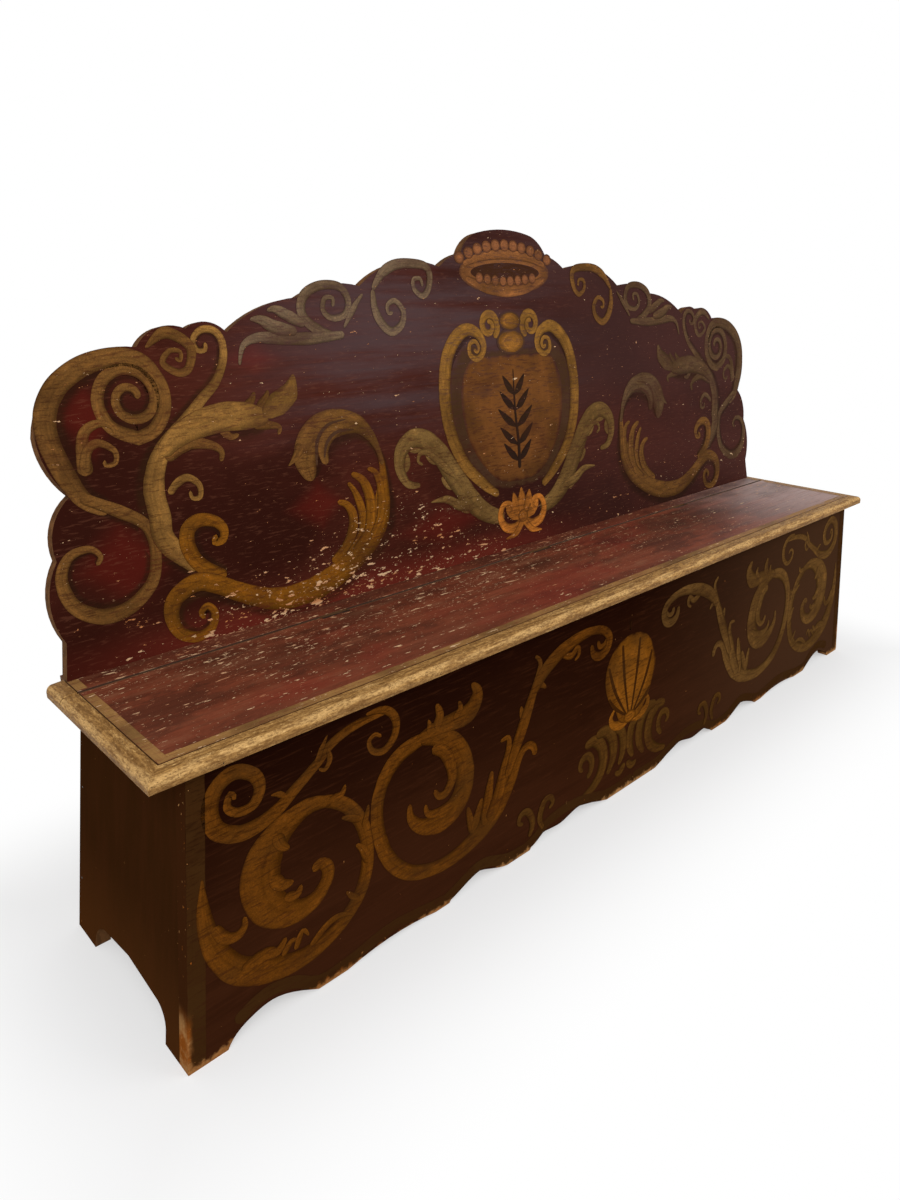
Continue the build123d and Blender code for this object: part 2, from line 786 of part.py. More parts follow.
lid_tacks = drive(
    lid_tack_planes, tack_radius, tack_length - nail_fit, tack_head_radius, tack_head_height
)
save(lid_tacks, "hinge_lid_tacks")
rail_tacks = drive(
    rail_tack_planes, tack_radius, tack_length - nail_fit, tack_head_radius, tack_head_height
)
save(rail_tacks, "hinge_rail_tacks")

# Back, and the battens that tie it to the chest
back_lobes = [
    ((0.999, 0.185), (0.978, 0.268)),
    ((0.970, 0.352), (0.941, 0.403)),
    ((0.964, 0.462), (0.971, 0.533)),
    ((0.909, 0.673), (0.805, 0.706)),
    ((0.767, 0.747), (0.723, 0.742)),
    ((0.688, 0.756), (0.655, 0.730)),
    ((0.589, 0.785), (0.516, 0.808)),
    ((0.436, 0.842), (0.382, 0.835)),
    ((0.267, 0.902), (0.186, 0.888)),
    ((0.156, 0.915), (0.126, 0.929)),
    ((0.106, 0.965), (0.074, 0.988)),
    ((0.037, 0.997), (0.000, 1.000)),
]
back_foot_cusp = (0.989, 0.085)


def back_point(share):
    """A point of the back's outline, from its shares of the half length and of the height."""
    return (share[0] * seat_half, share[1] * back_height)


def back_board():
    """The whole back as one board, in the part that is being built."""
    with BuildSketch(back_face) as outline:
        with BuildLine():
            Polyline((0, -spare), (seat_half, -spare), (seat_half, 0), back_point(back_foot_cusp))
            start = back_point(back_foot_cusp)
            for crown, cusp in back_lobes:
                ThreePointArc(start, back_point(crown), back_point(cusp))
                start = back_point(cusp)
            mirror(about=Plane.YZ)
        make_face()
    extrude(outline.sketch, amount=-back_thickness)
    cut_above(level(seat_height))


seam = Plane(
    origin=back_face.from_local_coords((0, back_seam, 0)),
    x_dir=(1, 0, 0),
    z_dir=back_face.y_dir,
)
with BuildPart() as back_plank_lower:
    back_board()
    cut_below(seam)
    bore(batten_nail_planes, nail_radius + nail_fit, short_nail_length)
save(back_plank_lower, "back_plank_lower")

with BuildPart() as back_plank_upper:
    back_board()
    cut_above(seam)
    bore(batten_nail_planes, nail_radius + nail_fit, short_nail_length)
save(back_plank_upper, "back_plank_upper")

upper_run = (back_thickness + batten_thickness) / recline_cos
lower_run = batten_thickness / cos(radians(rear_lean))
knee_run = rear_foot_y + lower_run - back_foot_y - upper_run + seat_height * recline_sin / recline_cos
knee_z = knee_run / (recline_sin / recline_cos + rear_slope)
knee_y = rear_foot_y + lower_run - knee_z * rear_slope
inner_top = back_rear.from_local_coords((0, batten_top, 0))
outer_top = batten_rear.from_local_coords((0, batten_top, 0))
foot_y = rear_foot_y - batten_foot * rear_slope
for name, x in zip(batten_names, back_batten_places):
    with BuildPart() as back_batten:
        with BuildSketch(Plane.YZ.offset(x - batten_width / 2)):
            with BuildLine():
                Polyline(
                    (foot_y, batten_foot),
                    (rail_rear_y, seat_height),
                    (back_foot_y + back_thickness / recline_cos, seat_height),
                    (inner_top.Y, inner_top.Z),
                    (outer_top.Y, outer_top.Z),
                    (knee_y, knee_z),
                    (foot_y + lower_run, batten_foot),
                    close=True,
                )
            make_face()
        extrude(amount=batten_width)
        bore(batten_nail_planes, nail_radius + nail_fit, short_nail_length)
    save(back_batten, f"back_batten_{name}")

batten_nails = drive(
    batten_nail_planes, nail_radius, short_nail_length - nail_fit, nail_head_radius, nail_head_height
)
save(batten_nails, "back_batten_nails")

# Lock, on the inside of the front panel
bolt_nose = staple_offset - staple_thickness / 2 - staple_slack
guide_places = [
    guide_inset - lock_width / 2,
    staple_offset - 2.5 * guide_width,
    bolt_nose + bolt_travel,
]
guide_height = bolt_height + 2 * guide_wall
guide_low = bolt_setback - bolt_depth / 2 - guide_wall
with BuildPart() as lock_case:
    with BuildSketch(lock_base):
        with Locations((0, lock_rise)):
            Rectangle(lock_width + 2 * lock_ear, lock_height)
    extrude(amount=lock_wall)
    with BuildSketch(lock_base):
        with Locations((0, lock_rise)):
            Rectangle(lock_width, lock_height)
    extrude(amount=lock_depth)
    with BuildSketch(lock_base):
        with Locations((0, lock_rise)):
            Rectangle(lock_width - 2 * lock_wall, lock_height - 2 * lock_wall)
    extrude(amount=lock_depth - lock_wall, mode=Mode.SUBTRACT)
    with BuildSketch(lock_base.offset(guide_low)):
        for place in guide_places:
            with Locations((-place, bolt_level)):
                Rectangle(guide_width, guide_height)
    extrude(amount=lock_depth - lock_wall - guide_low)
    with BuildSketch(lock_base.offset(bolt_setback - bolt_depth / 2 - bolt_clearance)):
        with Locations((0, bolt_level)):
            Rectangle(lock_width - 2 * lock_wall, bolt_height + 2 * bolt_clearance)
    extrude(amount=bolt_depth + 2 * bolt_clearance, mode=Mode.SUBTRACT)
    with BuildSketch(lock_base):
        with Locations((-staple_offset, lock_rise + lock_height / 2)):
            Rectangle(2 * guide_width + staple_thickness, 4 * lock_wall)
    extrude(amount=lock_depth - lock_wall, mode=Mode.SUBTRACT)
    bore(lock_nail_planes, tack_radius + nail_fit, tack_length)
save(lock_case, "lock_case")

with BuildPart() as lock_bolt:
    with BuildSketch(lock_base.offset(bolt_setback - bolt_depth / 2)):
        with Locations((-(bolt_nose - bolt_length / 2), bolt_level)):
            Rectangle(bolt_length, bolt_height)
        with Locations((-(guide_places[0] + bolt_tail), bolt_level - bolt_height)):
            Rectangle(bolt_tail, 2 * bolt_height)
    extrude(amount=bolt_depth)
save(lock_bolt, "lock_bolt")

eye_depth = bolt_depth + 2 * staple_slack
eye_height = bolt_height + 2 * staple_slack
with BuildPart() as lock_staple:
    with BuildSketch(level(lid_bottom - staple_foot_thickness)):
        with Locations((staple_x, bolt_centre.Y)):
            Rectangle(staple_foot_length, staple_foot_width)
    extrude(amount=staple_foot_thickness)
    loop_low = bolt_centre.Z - eye_height / 2 - staple_wall
    with BuildSketch(level(loop_low)):
        with Locations((staple_x, bolt_centre.Y)):
            Rectangle(staple_thickness, eye_depth + 2 * staple_wall)
    extrude(amount=lid_bottom - staple_foot_thickness - loop_low)
    with BuildSketch(Plane.YZ.offset(staple_x - staple_thickness)):
        with Locations((bolt_centre.Y, bolt_centre.Z)):
            Rectangle(eye_depth, eye_height)
    extrude(amount=2 * staple_thickness, mode=Mode.SUBTRACT)
    bore(staple_tack_planes, tack_radius + nail_fit, tack_length)
save(lock_staple, "lock_staple")

lock_nails = drive(
    lock_nail_planes, tack_radius, tack_length - nail_fit, tack_head_radius, tack_head_height
)
save(lock_nails, "lock_tacks")
staple_tacks = drive(
    staple_tack_planes, tack_radius, tack_length - nail_fit, tack_head_radius, tack_head_height
)
save(staple_tacks, "staple_tacks")

print(f"hinge axis at y {hinge_y:.3f}, z {hinge_z:.3f}")
print(f"front foot y {front_foot_y:.3f}, back foot y {back_foot_y:.3f}, seat half {seat_half:.3f}")
print(f"bolt centre {bolt_centre}, lid bottom {lid_bottom:.3f}")
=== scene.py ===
"""Looks and stage of a painted chest-bench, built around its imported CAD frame."""

from functools import partial
from math import ceil, cos, pi, radians, sin, sqrt

import bmesh
import bpy
from bpy.props import FloatProperty, FloatVectorProperty, PointerProperty
from mathutils import Matrix, Vector


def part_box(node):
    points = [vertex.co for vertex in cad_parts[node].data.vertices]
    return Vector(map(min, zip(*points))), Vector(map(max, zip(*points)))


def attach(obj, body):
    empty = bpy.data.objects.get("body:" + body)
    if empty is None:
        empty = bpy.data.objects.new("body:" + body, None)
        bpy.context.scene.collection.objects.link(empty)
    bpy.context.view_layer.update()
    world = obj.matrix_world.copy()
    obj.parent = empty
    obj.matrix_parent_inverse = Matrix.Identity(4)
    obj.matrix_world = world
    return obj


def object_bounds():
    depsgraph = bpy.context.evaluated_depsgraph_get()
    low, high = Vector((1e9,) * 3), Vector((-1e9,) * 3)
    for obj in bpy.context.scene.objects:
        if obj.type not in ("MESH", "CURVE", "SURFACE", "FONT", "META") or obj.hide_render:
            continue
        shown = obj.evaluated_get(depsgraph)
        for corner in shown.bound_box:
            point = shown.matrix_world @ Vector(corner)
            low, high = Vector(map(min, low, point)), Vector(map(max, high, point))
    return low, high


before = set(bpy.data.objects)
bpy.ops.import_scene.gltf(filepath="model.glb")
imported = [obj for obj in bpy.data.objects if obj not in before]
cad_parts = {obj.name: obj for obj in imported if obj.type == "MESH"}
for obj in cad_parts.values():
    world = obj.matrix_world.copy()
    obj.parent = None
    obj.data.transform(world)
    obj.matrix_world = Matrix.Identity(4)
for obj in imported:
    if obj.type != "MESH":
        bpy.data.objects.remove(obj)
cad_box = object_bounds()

bl_info = {
    "name": "Painted Chest-Bench",
    "version": (1, 0, 0),
    "blender": (4, 5, 0),
    "location": "View3D > Sidebar > Chest-Bench",
    "description": "Paints, wears and lights a chest-bench with a shaped back",
    "category": "Add Mesh",
}

MM = 0.001

# Angles, slopes and places of the CAD's boards, in radians and metres
FRONT_LEAN = radians(3.65)
BACK_RECLINE = radians(8.4)
END_SLOPE = 0.1361
BACK_FOOT_Y = 0.110967
SEAT_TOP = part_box("lid_plank")[1].z
FRONT_FOOT_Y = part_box("front_panel")[0].y
HINGE_GAP_Y = (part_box("lid_plank")[1].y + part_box("hinge_rail")[0].y) / 2
KEYHOLE = (-0.025, 0.382)
FRONT_FOOT_HALF = 1.0435
MOULDING_HOLLOW_Z = 0.4685


def srgb(red, green, blue):
    """A colour as a picture editor names it, 0 to 255, in the linear values that shaders use."""
    parts = []
    for part in (red, green, blue):
        share = part / 255
        parts.append(share / 12.92 if share <= 0.04045 else ((share + 0.055) / 1.055) ** 2.4)
    return (*parts, 1.0)


def colour_property(label, words, rgb):
    """A colour that a user may change."""
    return FloatVectorProperty(
        name=label, description=words, subtype="COLOR", size=4, min=0, max=1, default=srgb(*rgb)
    )


def length_property(label, words, length_mm):
    """A length that a user may change, in mm here and in metres in the scene."""
    return FloatProperty(name=label, description=words, default=length_mm * MM, unit="LENGTH")


class BenchSizes(bpy.types.PropertyGroup):
    """Sizes of the paintwork."""

    paint_thickness: length_property("Paint thickness", "How far the ornament stands on its board", 0.25)
    paint_layer: length_property("Layer step", "How much higher each later brush stroke lies", 0.015)
    brush_step: length_property("Brush step", "Distance between the points of a brush stroke", 4.5)
    border_width: length_property("Front border", "Width of the painted border round the front", 24)
    seat_border_width: length_property("Seat border", "Width of the gilt line inside the moulding", 14)


class BenchColours(bpy.types.PropertyGroup):
    """Colours of the paint, the wood and the iron."""

    back_red: colour_property("Back red", "Ground of the back", (74, 32, 22))
    back_shade: colour_property("Back shade", "Darker ground of the back", (46, 17, 10))
    # Painted sheen: a grey haze of reflected light laid into the colour of the back's upper middle
    back_sheen: colour_property("Back bloom", "Grey bloom on the back's old varnish", (80, 66, 68))
    front_brown: colour_property("Front brown", "Ground of the front", (54, 27, 13))
    # Also laid on as painted shade towards the top of the front, under the seat's overhang
    front_shade: colour_property("Front shade", "Darker ground of the front", (27, 9, 4))
    end_brown: colour_property("End brown", "Paint of the two ends", (55, 29, 12))
    end_shade: colour_property("End shade", "Darker streaks of the ends", (50, 27, 10))
    seat_red: colour_property("Seat red", "Paint of the seat", (132, 66, 43))
    seat_shade: colour_property("Seat shade", "Darker, rubbed paint of the seat", (68, 30, 18))
    primer: colour_property("Primer", "Cream primer in the chips", (214, 178, 138))
    gilt: colour_property("Gilt", "Worn gold of the mouldings", (178, 134, 76))
    # Lighter gold where rubbed, and the painted highlight on the moulding's rounded nose
    gilt_rubbed_highlight: colour_property("Light gilt", "Rubbed high parts of the gold", (222, 178, 114))
    # Painted shade, laid on the moulding's downward faces
    gilt_underside_shade: colour_property("Gilt shade", "Dirt in the gold's hollows", (84, 53, 22))
    bare_wood: colour_property("Bare wood", "Unpainted boards", (118, 80, 48))
    bare_shade: colour_property("Bare shade", "Grain of the unpainted boards", (72, 46, 26))
    iron: colour_property("Iron", "Wrought iron of hinges, lock and nails", (52, 46, 42))
    rust: colour_property("Rust", "Rust on the iron", (86, 48, 26))


# Tones of the ornament, as its lights; the shades come from the brush's own shading
ornament_tones = {
    "ochre": (108, 73, 35),
    "stem": (138, 99, 49),
    "gold": (122, 75, 18),
    "grey": (108, 88, 68),
    "dull": (88, 66, 45),
    "field": (112, 69, 32),
    "frame": (132, 92, 40),
    "leaf": (116, 88, 48),
    "jewel": (150, 100, 42),
    "shade": (74, 50, 34),
    "orange": (184, 112, 44),
    "crown": (126, 80, 44),
    "pearl": (134, 84, 52),
    "dark": (40, 26, 18),
    "umber": (36, 20, 10),
    "hollow": (60, 34, 19),
    "front_gold": (90, 51, 12),
    "front_olive": (76, 49, 18),
    "front_dull": (94, 66, 33),
    "shell": (124, 74, 19),
    "shell_dark": (58, 31, 8),
    "border": (56, 33, 13),
    "gilt_line": (150, 110, 62),
}


class Shade:
    """One socket's value. Sums, products and the like of shades add Math nodes."""

    def __init__(self, nodes, socket):
        self.nodes = nodes
        self.socket = socket

    def math(self, operation, first, second):
        """What a Math node makes of two values."""
        return self.nodes.node("ShaderNodeMath", {"operation": operation}, {0: first, 1: second})

    def __add__(self, other):
        return self.math("ADD", self, other)

    def __radd__(self, other):
        return self.math("ADD", other, self)

    def __sub__(self, other):
        return self.math("SUBTRACT", self, other)

    def __rsub__(self, other):
        return self.math("SUBTRACT", other, self)

    def __mul__(self, other):
        return self.math("MULTIPLY", self, other)

    def __rmul__(self, other):
        return self.math("MULTIPLY", other, self)

    def __abs__(self):
        return self.math("ABSOLUTE", self, 0.0)

    def __or__(self, other):
        return self.math("MAXIMUM", self, other)

    def __and__(self, other):
        return self.math("MINIMUM", self, other)


class Nodes:
    """Fills one node tree."""

    def __init__(self, tree):
        self.tree = tree
        self.tree.nodes.clear()
        self.places = None

    def node(self, kind, settings=None, sockets=None, output=0):
        """Adds a node: its settings first, then the values or links of its sockets."""
        made = self.tree.nodes.new(kind)
        for name, value in (settings or {}).items():
            if name == "stops":
                ramp = made.color_ramp.elements
                while len(ramp) < len(value):
                    ramp.new(1.0)
                for element, (place, grey) in zip(ramp, value):
                    element.position = place
                    element.color = (grey, grey, grey, 1.0)
            else:
                setattr(made, name, value)
        for name, value in (sockets or {}).items():
            if isinstance(value, Shade):
                self.tree.links.new(value.socket, made.inputs[name])
            else:
                made.inputs[name].default_value = value
        return Shade(self, made.outputs[output]) if made.outputs else made

    def facing(self):
        """The three parts of the surface's own direction."""
        return self.split(self.node("ShaderNodeTexCoord", output=1))

    def point(self):
        """Where a point lies on the piece, in metres."""
        if self.places is None:
            self.places = self.node("ShaderNodeTexCoord", output=3)
        return self.places

    def split(self, vector):
        """The three parts of a vector."""
        parts = self.node("ShaderNodeSeparateXYZ", None, {0: vector})
        return [Shade(self, output) for output in parts.socket.node.outputs]

    def noise(self, scale, stretch=(1, 1, 1), detail=4, rough=0.55, shift=0.0, vector=None):
        """Cloudy noise from 0 to 1, finer with scale and longer where stretch is small."""
        place = self.node(
            "ShaderNodeMapping",
            {"vector_type": "POINT"},
            {"Vector": vector or self.point(), "Location": (shift, shift, shift), "Scale": stretch},
        )
        values = {"Vector": place, "Scale": scale, "Detail": detail, "Roughness": rough}
        return self.node("ShaderNodeTexNoise", None, values)

    def step(self, value, low, high):
        """A soft step from 0 at low to 1 at high."""
        values = {"Value": value, "From Min": low, "From Max": high}
        return self.node("ShaderNodeMapRange", {"interpolation_type": "SMOOTHSTEP"}, values)

    def mix(self, share, first, second, kind="MIX"):
        """A colour between two."""
        settings = {"data_type": "RGBA", "blend_type": kind}
        return self.node("ShaderNodeMix", settings, {0: share, 6: first, 7: second}, output=2)

    def surface(self, colour, roughness, height, gloss, metal=0.0):
        """Ends a material with its surface."""
        normal = self.node("ShaderNodeBump", None, {"Strength": 0.5, "Distance": 1 * MM, "Height": height})
        values = {
            "Base Color": colour,
            "Roughness": roughness,
            "Metallic": metal,
            "Specular IOR Level": gloss,
            "Normal": normal,
        }
        body = self.node("ShaderNodeBsdfPrincipled", None, values)
        self.node("ShaderNodeOutputMaterial", None, {"Surface": body})


def new_finish(name):
    """A new material and the nodes to fill."""
    material = bpy.data.materials.new(name)
    material.use_nodes = True
    return material, Nodes(material.node_tree)


def colours():
    """The colours that the user may change."""
    return bpy.context.scene.bench_colours


def sizes():
    """The sizes that the user may change."""
    return bpy.context.scene.bench_sizes


def wood_ground(nodes, along):
    """Old bare wood whose grain runs along one axis."""
    stretch = [0.05 if axis == along else 1.0 for axis in range(3)]
    grain = nodes.noise(70, stretch, detail=6, rough=0.65)
    bands = nodes.noise(14, stretch, detail=3, shift=3.1)
    age = nodes.noise(2.5, detail=3, shift=7.7)
    colour = nodes.mix(nodes.step(grain, 0.28, 0.70), colours().bare_shade, colours().bare_wood)
    darker = nodes.step(bands, 0.45, 0.75) * 0.35
    colour = nodes.mix(darker, colour, colours().bare_shade)
    colour = nodes.mix(nodes.step(age, 0.4, 0.7) * 0.35, colour, srgb(96, 74, 54))
    return {"colour": colour, "roughness": 0.72 + 0.16 * grain, "height": grain}


def flakes(nodes, scale, stretch, share, shift=0.0):
    """Where paint has flaked off: more where share is high."""
    spots = nodes.noise(scale, stretch, detail=5, rough=0.6, shift=shift)
    return nodes.step(spots + 0.075 * share, 0.70, 0.72)


# Patches of clearer red on the back: across and up its middle, half width and half height, in metres
red_glows = [
    (-0.905, 0.840, 0.050, 0.060),
    (-0.890, 0.620, 0.090, 0.080),
    (-0.530, 0.650, 0.070, 0.050),
    (-0.620, 0.905, 0.080, 0.040),
    (-0.240, 0.560, 0.160, 0.050),
]


def back_ground(nodes):
    """Dark red paint of the back, with flakes low down and a painted grey sheen higher up."""
    x, _, z = nodes.split(nodes.point())
    cloud = nodes.noise(3.2, (0.6, 1, 1), detail=5, shift=1.7)
    streak = nodes.noise(26, (0.07, 1, 1), detail=6, rough=0.65)
    colour = nodes.mix(nodes.step(cloud, 0.36, 0.66), colours().back_shade, colours().back_red)
    colour = nodes.mix(nodes.step(streak, 0.5, 0.75) * 0.35, colour, colours().back_shade)
    fine = nodes.noise(230, (0.06, 1, 1), detail=5, rough=0.7, shift=6.6)
    colour = nodes.mix(nodes.step(fine, 0.46, 0.7) * 0.45, colour, colours().back_shade)
    for across, up, width, height in red_glows:
        reach = abs(x - across) * (1 / width) + abs(z - up) * (1 / height)
        glow = nodes.step(reach + 1.2 * cloud, 1.7, 0.8)
        colour = nodes.mix(glow * 0.3, colour, srgb(112, 28, 20))
    dashes = nodes.step(nodes.noise(300, (0.16, 1, 1), detail=4, shift=11.0), 0.54, 0.68)
    colour = nodes.mix(dashes * 0.22, colour, srgb(116, 70, 50))
    high = nodes.step(z, 0.70, 0.84)
    middle = nodes.step(abs(x + 0.18), 0.62, 0.16)
    # Painted sheen: the upper middle of the back is greyed as if it reflected light
    painted_sheen = high * middle * nodes.step(streak + 0.5 * cloud, 0.55, 0.95)
    colour = nodes.mix(painted_sheen * 0.62, colour, colours().back_sheen)
    dull = nodes.step(x, -0.35, 0.5) * (0.35 + 0.35 * high)
    colour = nodes.mix(dull, colour, srgb(62, 38, 35))
    low = nodes.step(z, 0.74, 0.49)
    left = nodes.step(abs(x + 0.42), 0.75, 0.25)
    share = low * (0.35 + 0.65 * left) * nodes.step(cloud, 0.3, 0.6)
    foot = nodes.step(z, 0.535, 0.475) * left
    colour = nodes.mix(foot * 0.4, colour, srgb(132, 48, 36))
    chips = flakes(nodes, 120, (0.36, 1, 1), share * 1.3 + foot * 0.3)
    chips = chips | flakes(nodes, 330, (0.4, 1, 1), share * 0.8 + foot * 0.3, 5.0)
    chips = chips | flakes(nodes, 60, (0.5, 1, 1), share * 1.9 - 0.5, 9.5)
    return {
        "colour": colour,
        "chips": chips,
        "chip_colour": nodes.mix(nodes.step(streak, 0.4, 0.6), colours().primer, srgb(186, 120, 72)),
        "roughness": 0.34 + 0.3 * streak,
        "height": streak * 0.5 + fine * 0.35 - chips,
        "face": -1.0 * nodes.facing()[1],
        "grain": 0,
        "gloss": 0.015,
    }


def front_ground(nodes):
    """Almost black brown paint of the front, darker towards the top with painted shade under the seat's
    overhang.
    """
    x, _, z = nodes.split(nodes.point())
    cloud = nodes.noise(4, detail=5, shift=2.3)
    streak = nodes.noise(30, (0.08, 1, 1), detail=6, rough=0.65, shift=4.4)
    # Painted shade: the front darkens towards the top, as under the overhang of the seat's moulding
    depth = nodes.step(z + 0.2 * cloud, 0.56, 0.16)
    colour = nodes.mix(depth, colours().front_shade, colours().front_brown)
    colour = nodes.mix(nodes.step(streak, 0.45, 0.75) * 0.4, colour, colours().front_shade)
    fine = nodes.noise(240, (0.07, 1, 1), detail=5, rough=0.7, shift=2.6)
    colour = nodes.mix(nodes.step(fine, 0.5, 0.7) * 0.35, colour, srgb(66, 34, 18))
    colour = nodes.mix(nodes.step(x, -0.1, 0.9) * 0.75, colour, srgb(68, 45, 29))
    side_gap = FRONT_FOOT_HALF - abs(x) - END_SLOPE * z
    edge = nodes.step(side_gap, 0.014, 0.0)
    foot = nodes.step(z, 0.05, 0.0)
    low = nodes.step(z, 0.11, 0.04)
    share = 0.95 * edge + 0.6 * edge * low + 0.75 * foot
    chips = flakes(nodes, 190, (0.8, 1, 0.5), share - 0.3, 1.0)
    worn = nodes.step(z + 0.03 * nodes.noise(90, detail=4, shift=1.9), 0.029, 0.018)
    ragged = side_gap + 0.016 * nodes.noise(70, (1, 1, 0.4), detail=4, shift=5.2)
    raw = nodes.step(ragged, 0.018, 0.008) * nodes.step(z, 0.105, 0.06)
    chips = chips | (worn * 0.85) | (raw * 0.8)
    facing = nodes.facing()
    end_grain = nodes.step(abs(facing[0]), 0.5, 0.8)
    colour = nodes.mix(end_grain, colour, colours().end_brown)
    # Painted shade: the walls of the keyhole are darkened to near black
    bore = nodes.step(abs(x - KEYHOLE[0]), 0.016, 0.012) * nodes.step(abs(z - KEYHOLE[1]), 0.03, 0.025)
    return {
        "bore": bore,
        "colour": colour,
        "chips": chips,
        "chip_colour": nodes.mix(nodes.step(streak, 0.4, 0.6), srgb(168, 122, 74), srgb(136, 74, 24)),
        "roughness": 0.5 + 0.25 * streak,
        "height": streak * 0.5 - chips,
        "face": (-1.0 * facing[1]) | end_grain,
        "grain": 0,
        "gloss": 0.0,
    }


def end_ground(nodes):
    """Plain brown paint of the ends, brushed up and down."""
    x, _, z = nodes.split(nodes.point())
    cloud = nodes.noise(5, detail=4, shift=6.1)
    streak = nodes.noise(34, (1, 1, 0.06), detail=6, rough=0.65, shift=0.6)
    colour = nodes.mix(nodes.step(streak, 0.38, 0.68), colours().end_shade, colours().end_brown)
    colour = nodes.mix(nodes.step(z + 0.1 * cloud, 0.26, 0.02) * 0.75, colour, srgb(76, 43, 18))
    foot = nodes.step(z, 0.045, 0.0)
    chips = flakes(nodes, 190, (1, 1, 0.5), foot * 0.8 - 0.3, 2.0)
    side = nodes.facing()[0]
    return {
        "colour": colour,
        "chips": chips,
        "chip_colour": srgb(142, 96, 52),
        "roughness": 0.48 + 0.25 * streak,
        "height": streak * 0.6 - chips,
        "face": side * x,
        "grain": 2,
        "gloss": 0.0,
    }


def seat_ground(nodes):
    """Red-brown paint of the seat, rubbed and flaked along the grain."""
    x, y, _ = nodes.split(nodes.point())
    cloud = nodes.noise(3.5, (0.5, 1, 1), detail=5, shift=9.2)
    streak = nodes.noise(42, (0.045, 1, 1), detail=7, rough=0.66, shift=3.3)
    rubbed = 0.45 + 0.4 * nodes.step(streak, 0.36, 0.64)
    colour = nodes.mix(rubbed, colours().seat_shade, colours().seat_red)
    mottle = nodes.noise(13, (0.42, 1, 1), detail=8, rough=0.74, shift=1.4)
    colour = nodes.mix(nodes.step(mottle, 0.55, 0.40) * 0.6, colour, srgb(52, 27, 18))
    colour = nodes.mix(nodes.step(mottle, 0.54, 0.70) * 0.5, colour, srgb(140, 92, 66))
    clear = nodes.noise(6, (0.5, 1, 1), detail=4, shift=4.7)
    colour = nodes.mix(nodes.step(clear, 0.50, 0.66) * 0.4, colour, srgb(126, 38, 28))
    colour = nodes.mix(nodes.step(cloud, 0.45, 0.72) * 0.35, colour, srgb(122, 66, 46))
    bald = nodes.step(nodes.noise(38, (0.1, 1, 1), detail=6, rough=0.7, shift=8.8), 0.52, 0.68)
    colour = nodes.mix(bald * 0.3 * (0.3 + nodes.step(y, -0.2, 0.05)), colour, srgb(146, 102, 74))
    # Painted sheen: the seat's right end is turned pale grey, as if it reflected light
    colour = nodes.mix(nodes.step(x, 0.45, 1.0) * 0.8, colour, srgb(178, 152, 145))
    fine = nodes.noise(260, (0.05, 1, 1), detail=5, rough=0.7, shift=0.9)
    colour = nodes.mix(nodes.step(fine, 0.47, 0.68) * 0.4, colour, colours().seat_shade)
    rail = nodes.step(y, HINGE_GAP_Y, HINGE_GAP_Y + 0.02)
    colour = nodes.mix(rail * 0.45, colour, srgb(60, 25, 17))
    rear = nodes.step(y, -0.16, 0.06)
    arris = nodes.step(abs(y - HINGE_GAP_Y), 0.007, 0.002)
    share = 0.6 + 0.55 * rear * nodes.step(cloud, 0.34, 0.6) + 0.5 * arris
    # Darker patches towards the rear of the seat
    rear_darkening = rear * nodes.step(nodes.noise(9, (0.5, 1, 1), detail=4, shift=5.9), 0.46, 0.66)
    colour = nodes.mix(rear_darkening * 0.55, colour, srgb(48, 27, 17))
    colour = nodes.mix(arris * 0.2, colour, srgb(140, 100, 72))
    # Painted shade: a near-black line along the gap between the lid and the hinge rail
    seam_shade = nodes.step(abs(y - HINGE_GAP_Y), 0.0045, 0.0015)
    colour = nodes.mix(seam_shade * 0.9, colour, srgb(26, 13, 8))
    chips = flakes(nodes, 130, (0.24, 1, 1), share, 4.0) | flakes(nodes, 330, (0.3, 1, 1), share)
    chips = chips | flakes(nodes, 70, (0.34, 1, 1), share * 1.1 - 0.4, 7.1)
    chips = chips * (1.0 - seam_shade)
    return {
        "colour": colour,
        "chips": chips,
        "chip_colour": nodes.mix(nodes.step(streak, 0.42, 0.6), colours().primer, srgb(178, 120, 84)),
        "roughness": 0.38 + 0.3 * streak,
        "height": streak * 0.8 - chips,
        "face": nodes.facing()[2],
        "grain": 0,
        "gloss": 0.12,
    }


def board_finish(name, ground):
    """Paint on a board's show face, and bare wood on its other faces."""
    material, nodes = new_finish(name)
    paint = ground(nodes)
    wood = wood_ground(nodes, paint["grain"])
    colour = nodes.mix(paint["chips"], paint["colour"], paint["chip_colour"])
    shown = nodes.step(paint["face"], 0.25, 0.55)
    inside = wood["colour"]
    # Painted shade in the keyhole, where the front has one
    if "bore" in paint:
        inside = nodes.mix(paint["bore"], inside, srgb(14, 8, 4))
    colour = nodes.mix(shown, inside, colour)
    roughness = wood["roughness"] + shown * (paint["roughness"] - wood["roughness"])
    height = wood["height"] + shown * (paint["height"] - wood["height"])
    nodes.surface(colour, roughness, height, paint["gloss"])
    return material


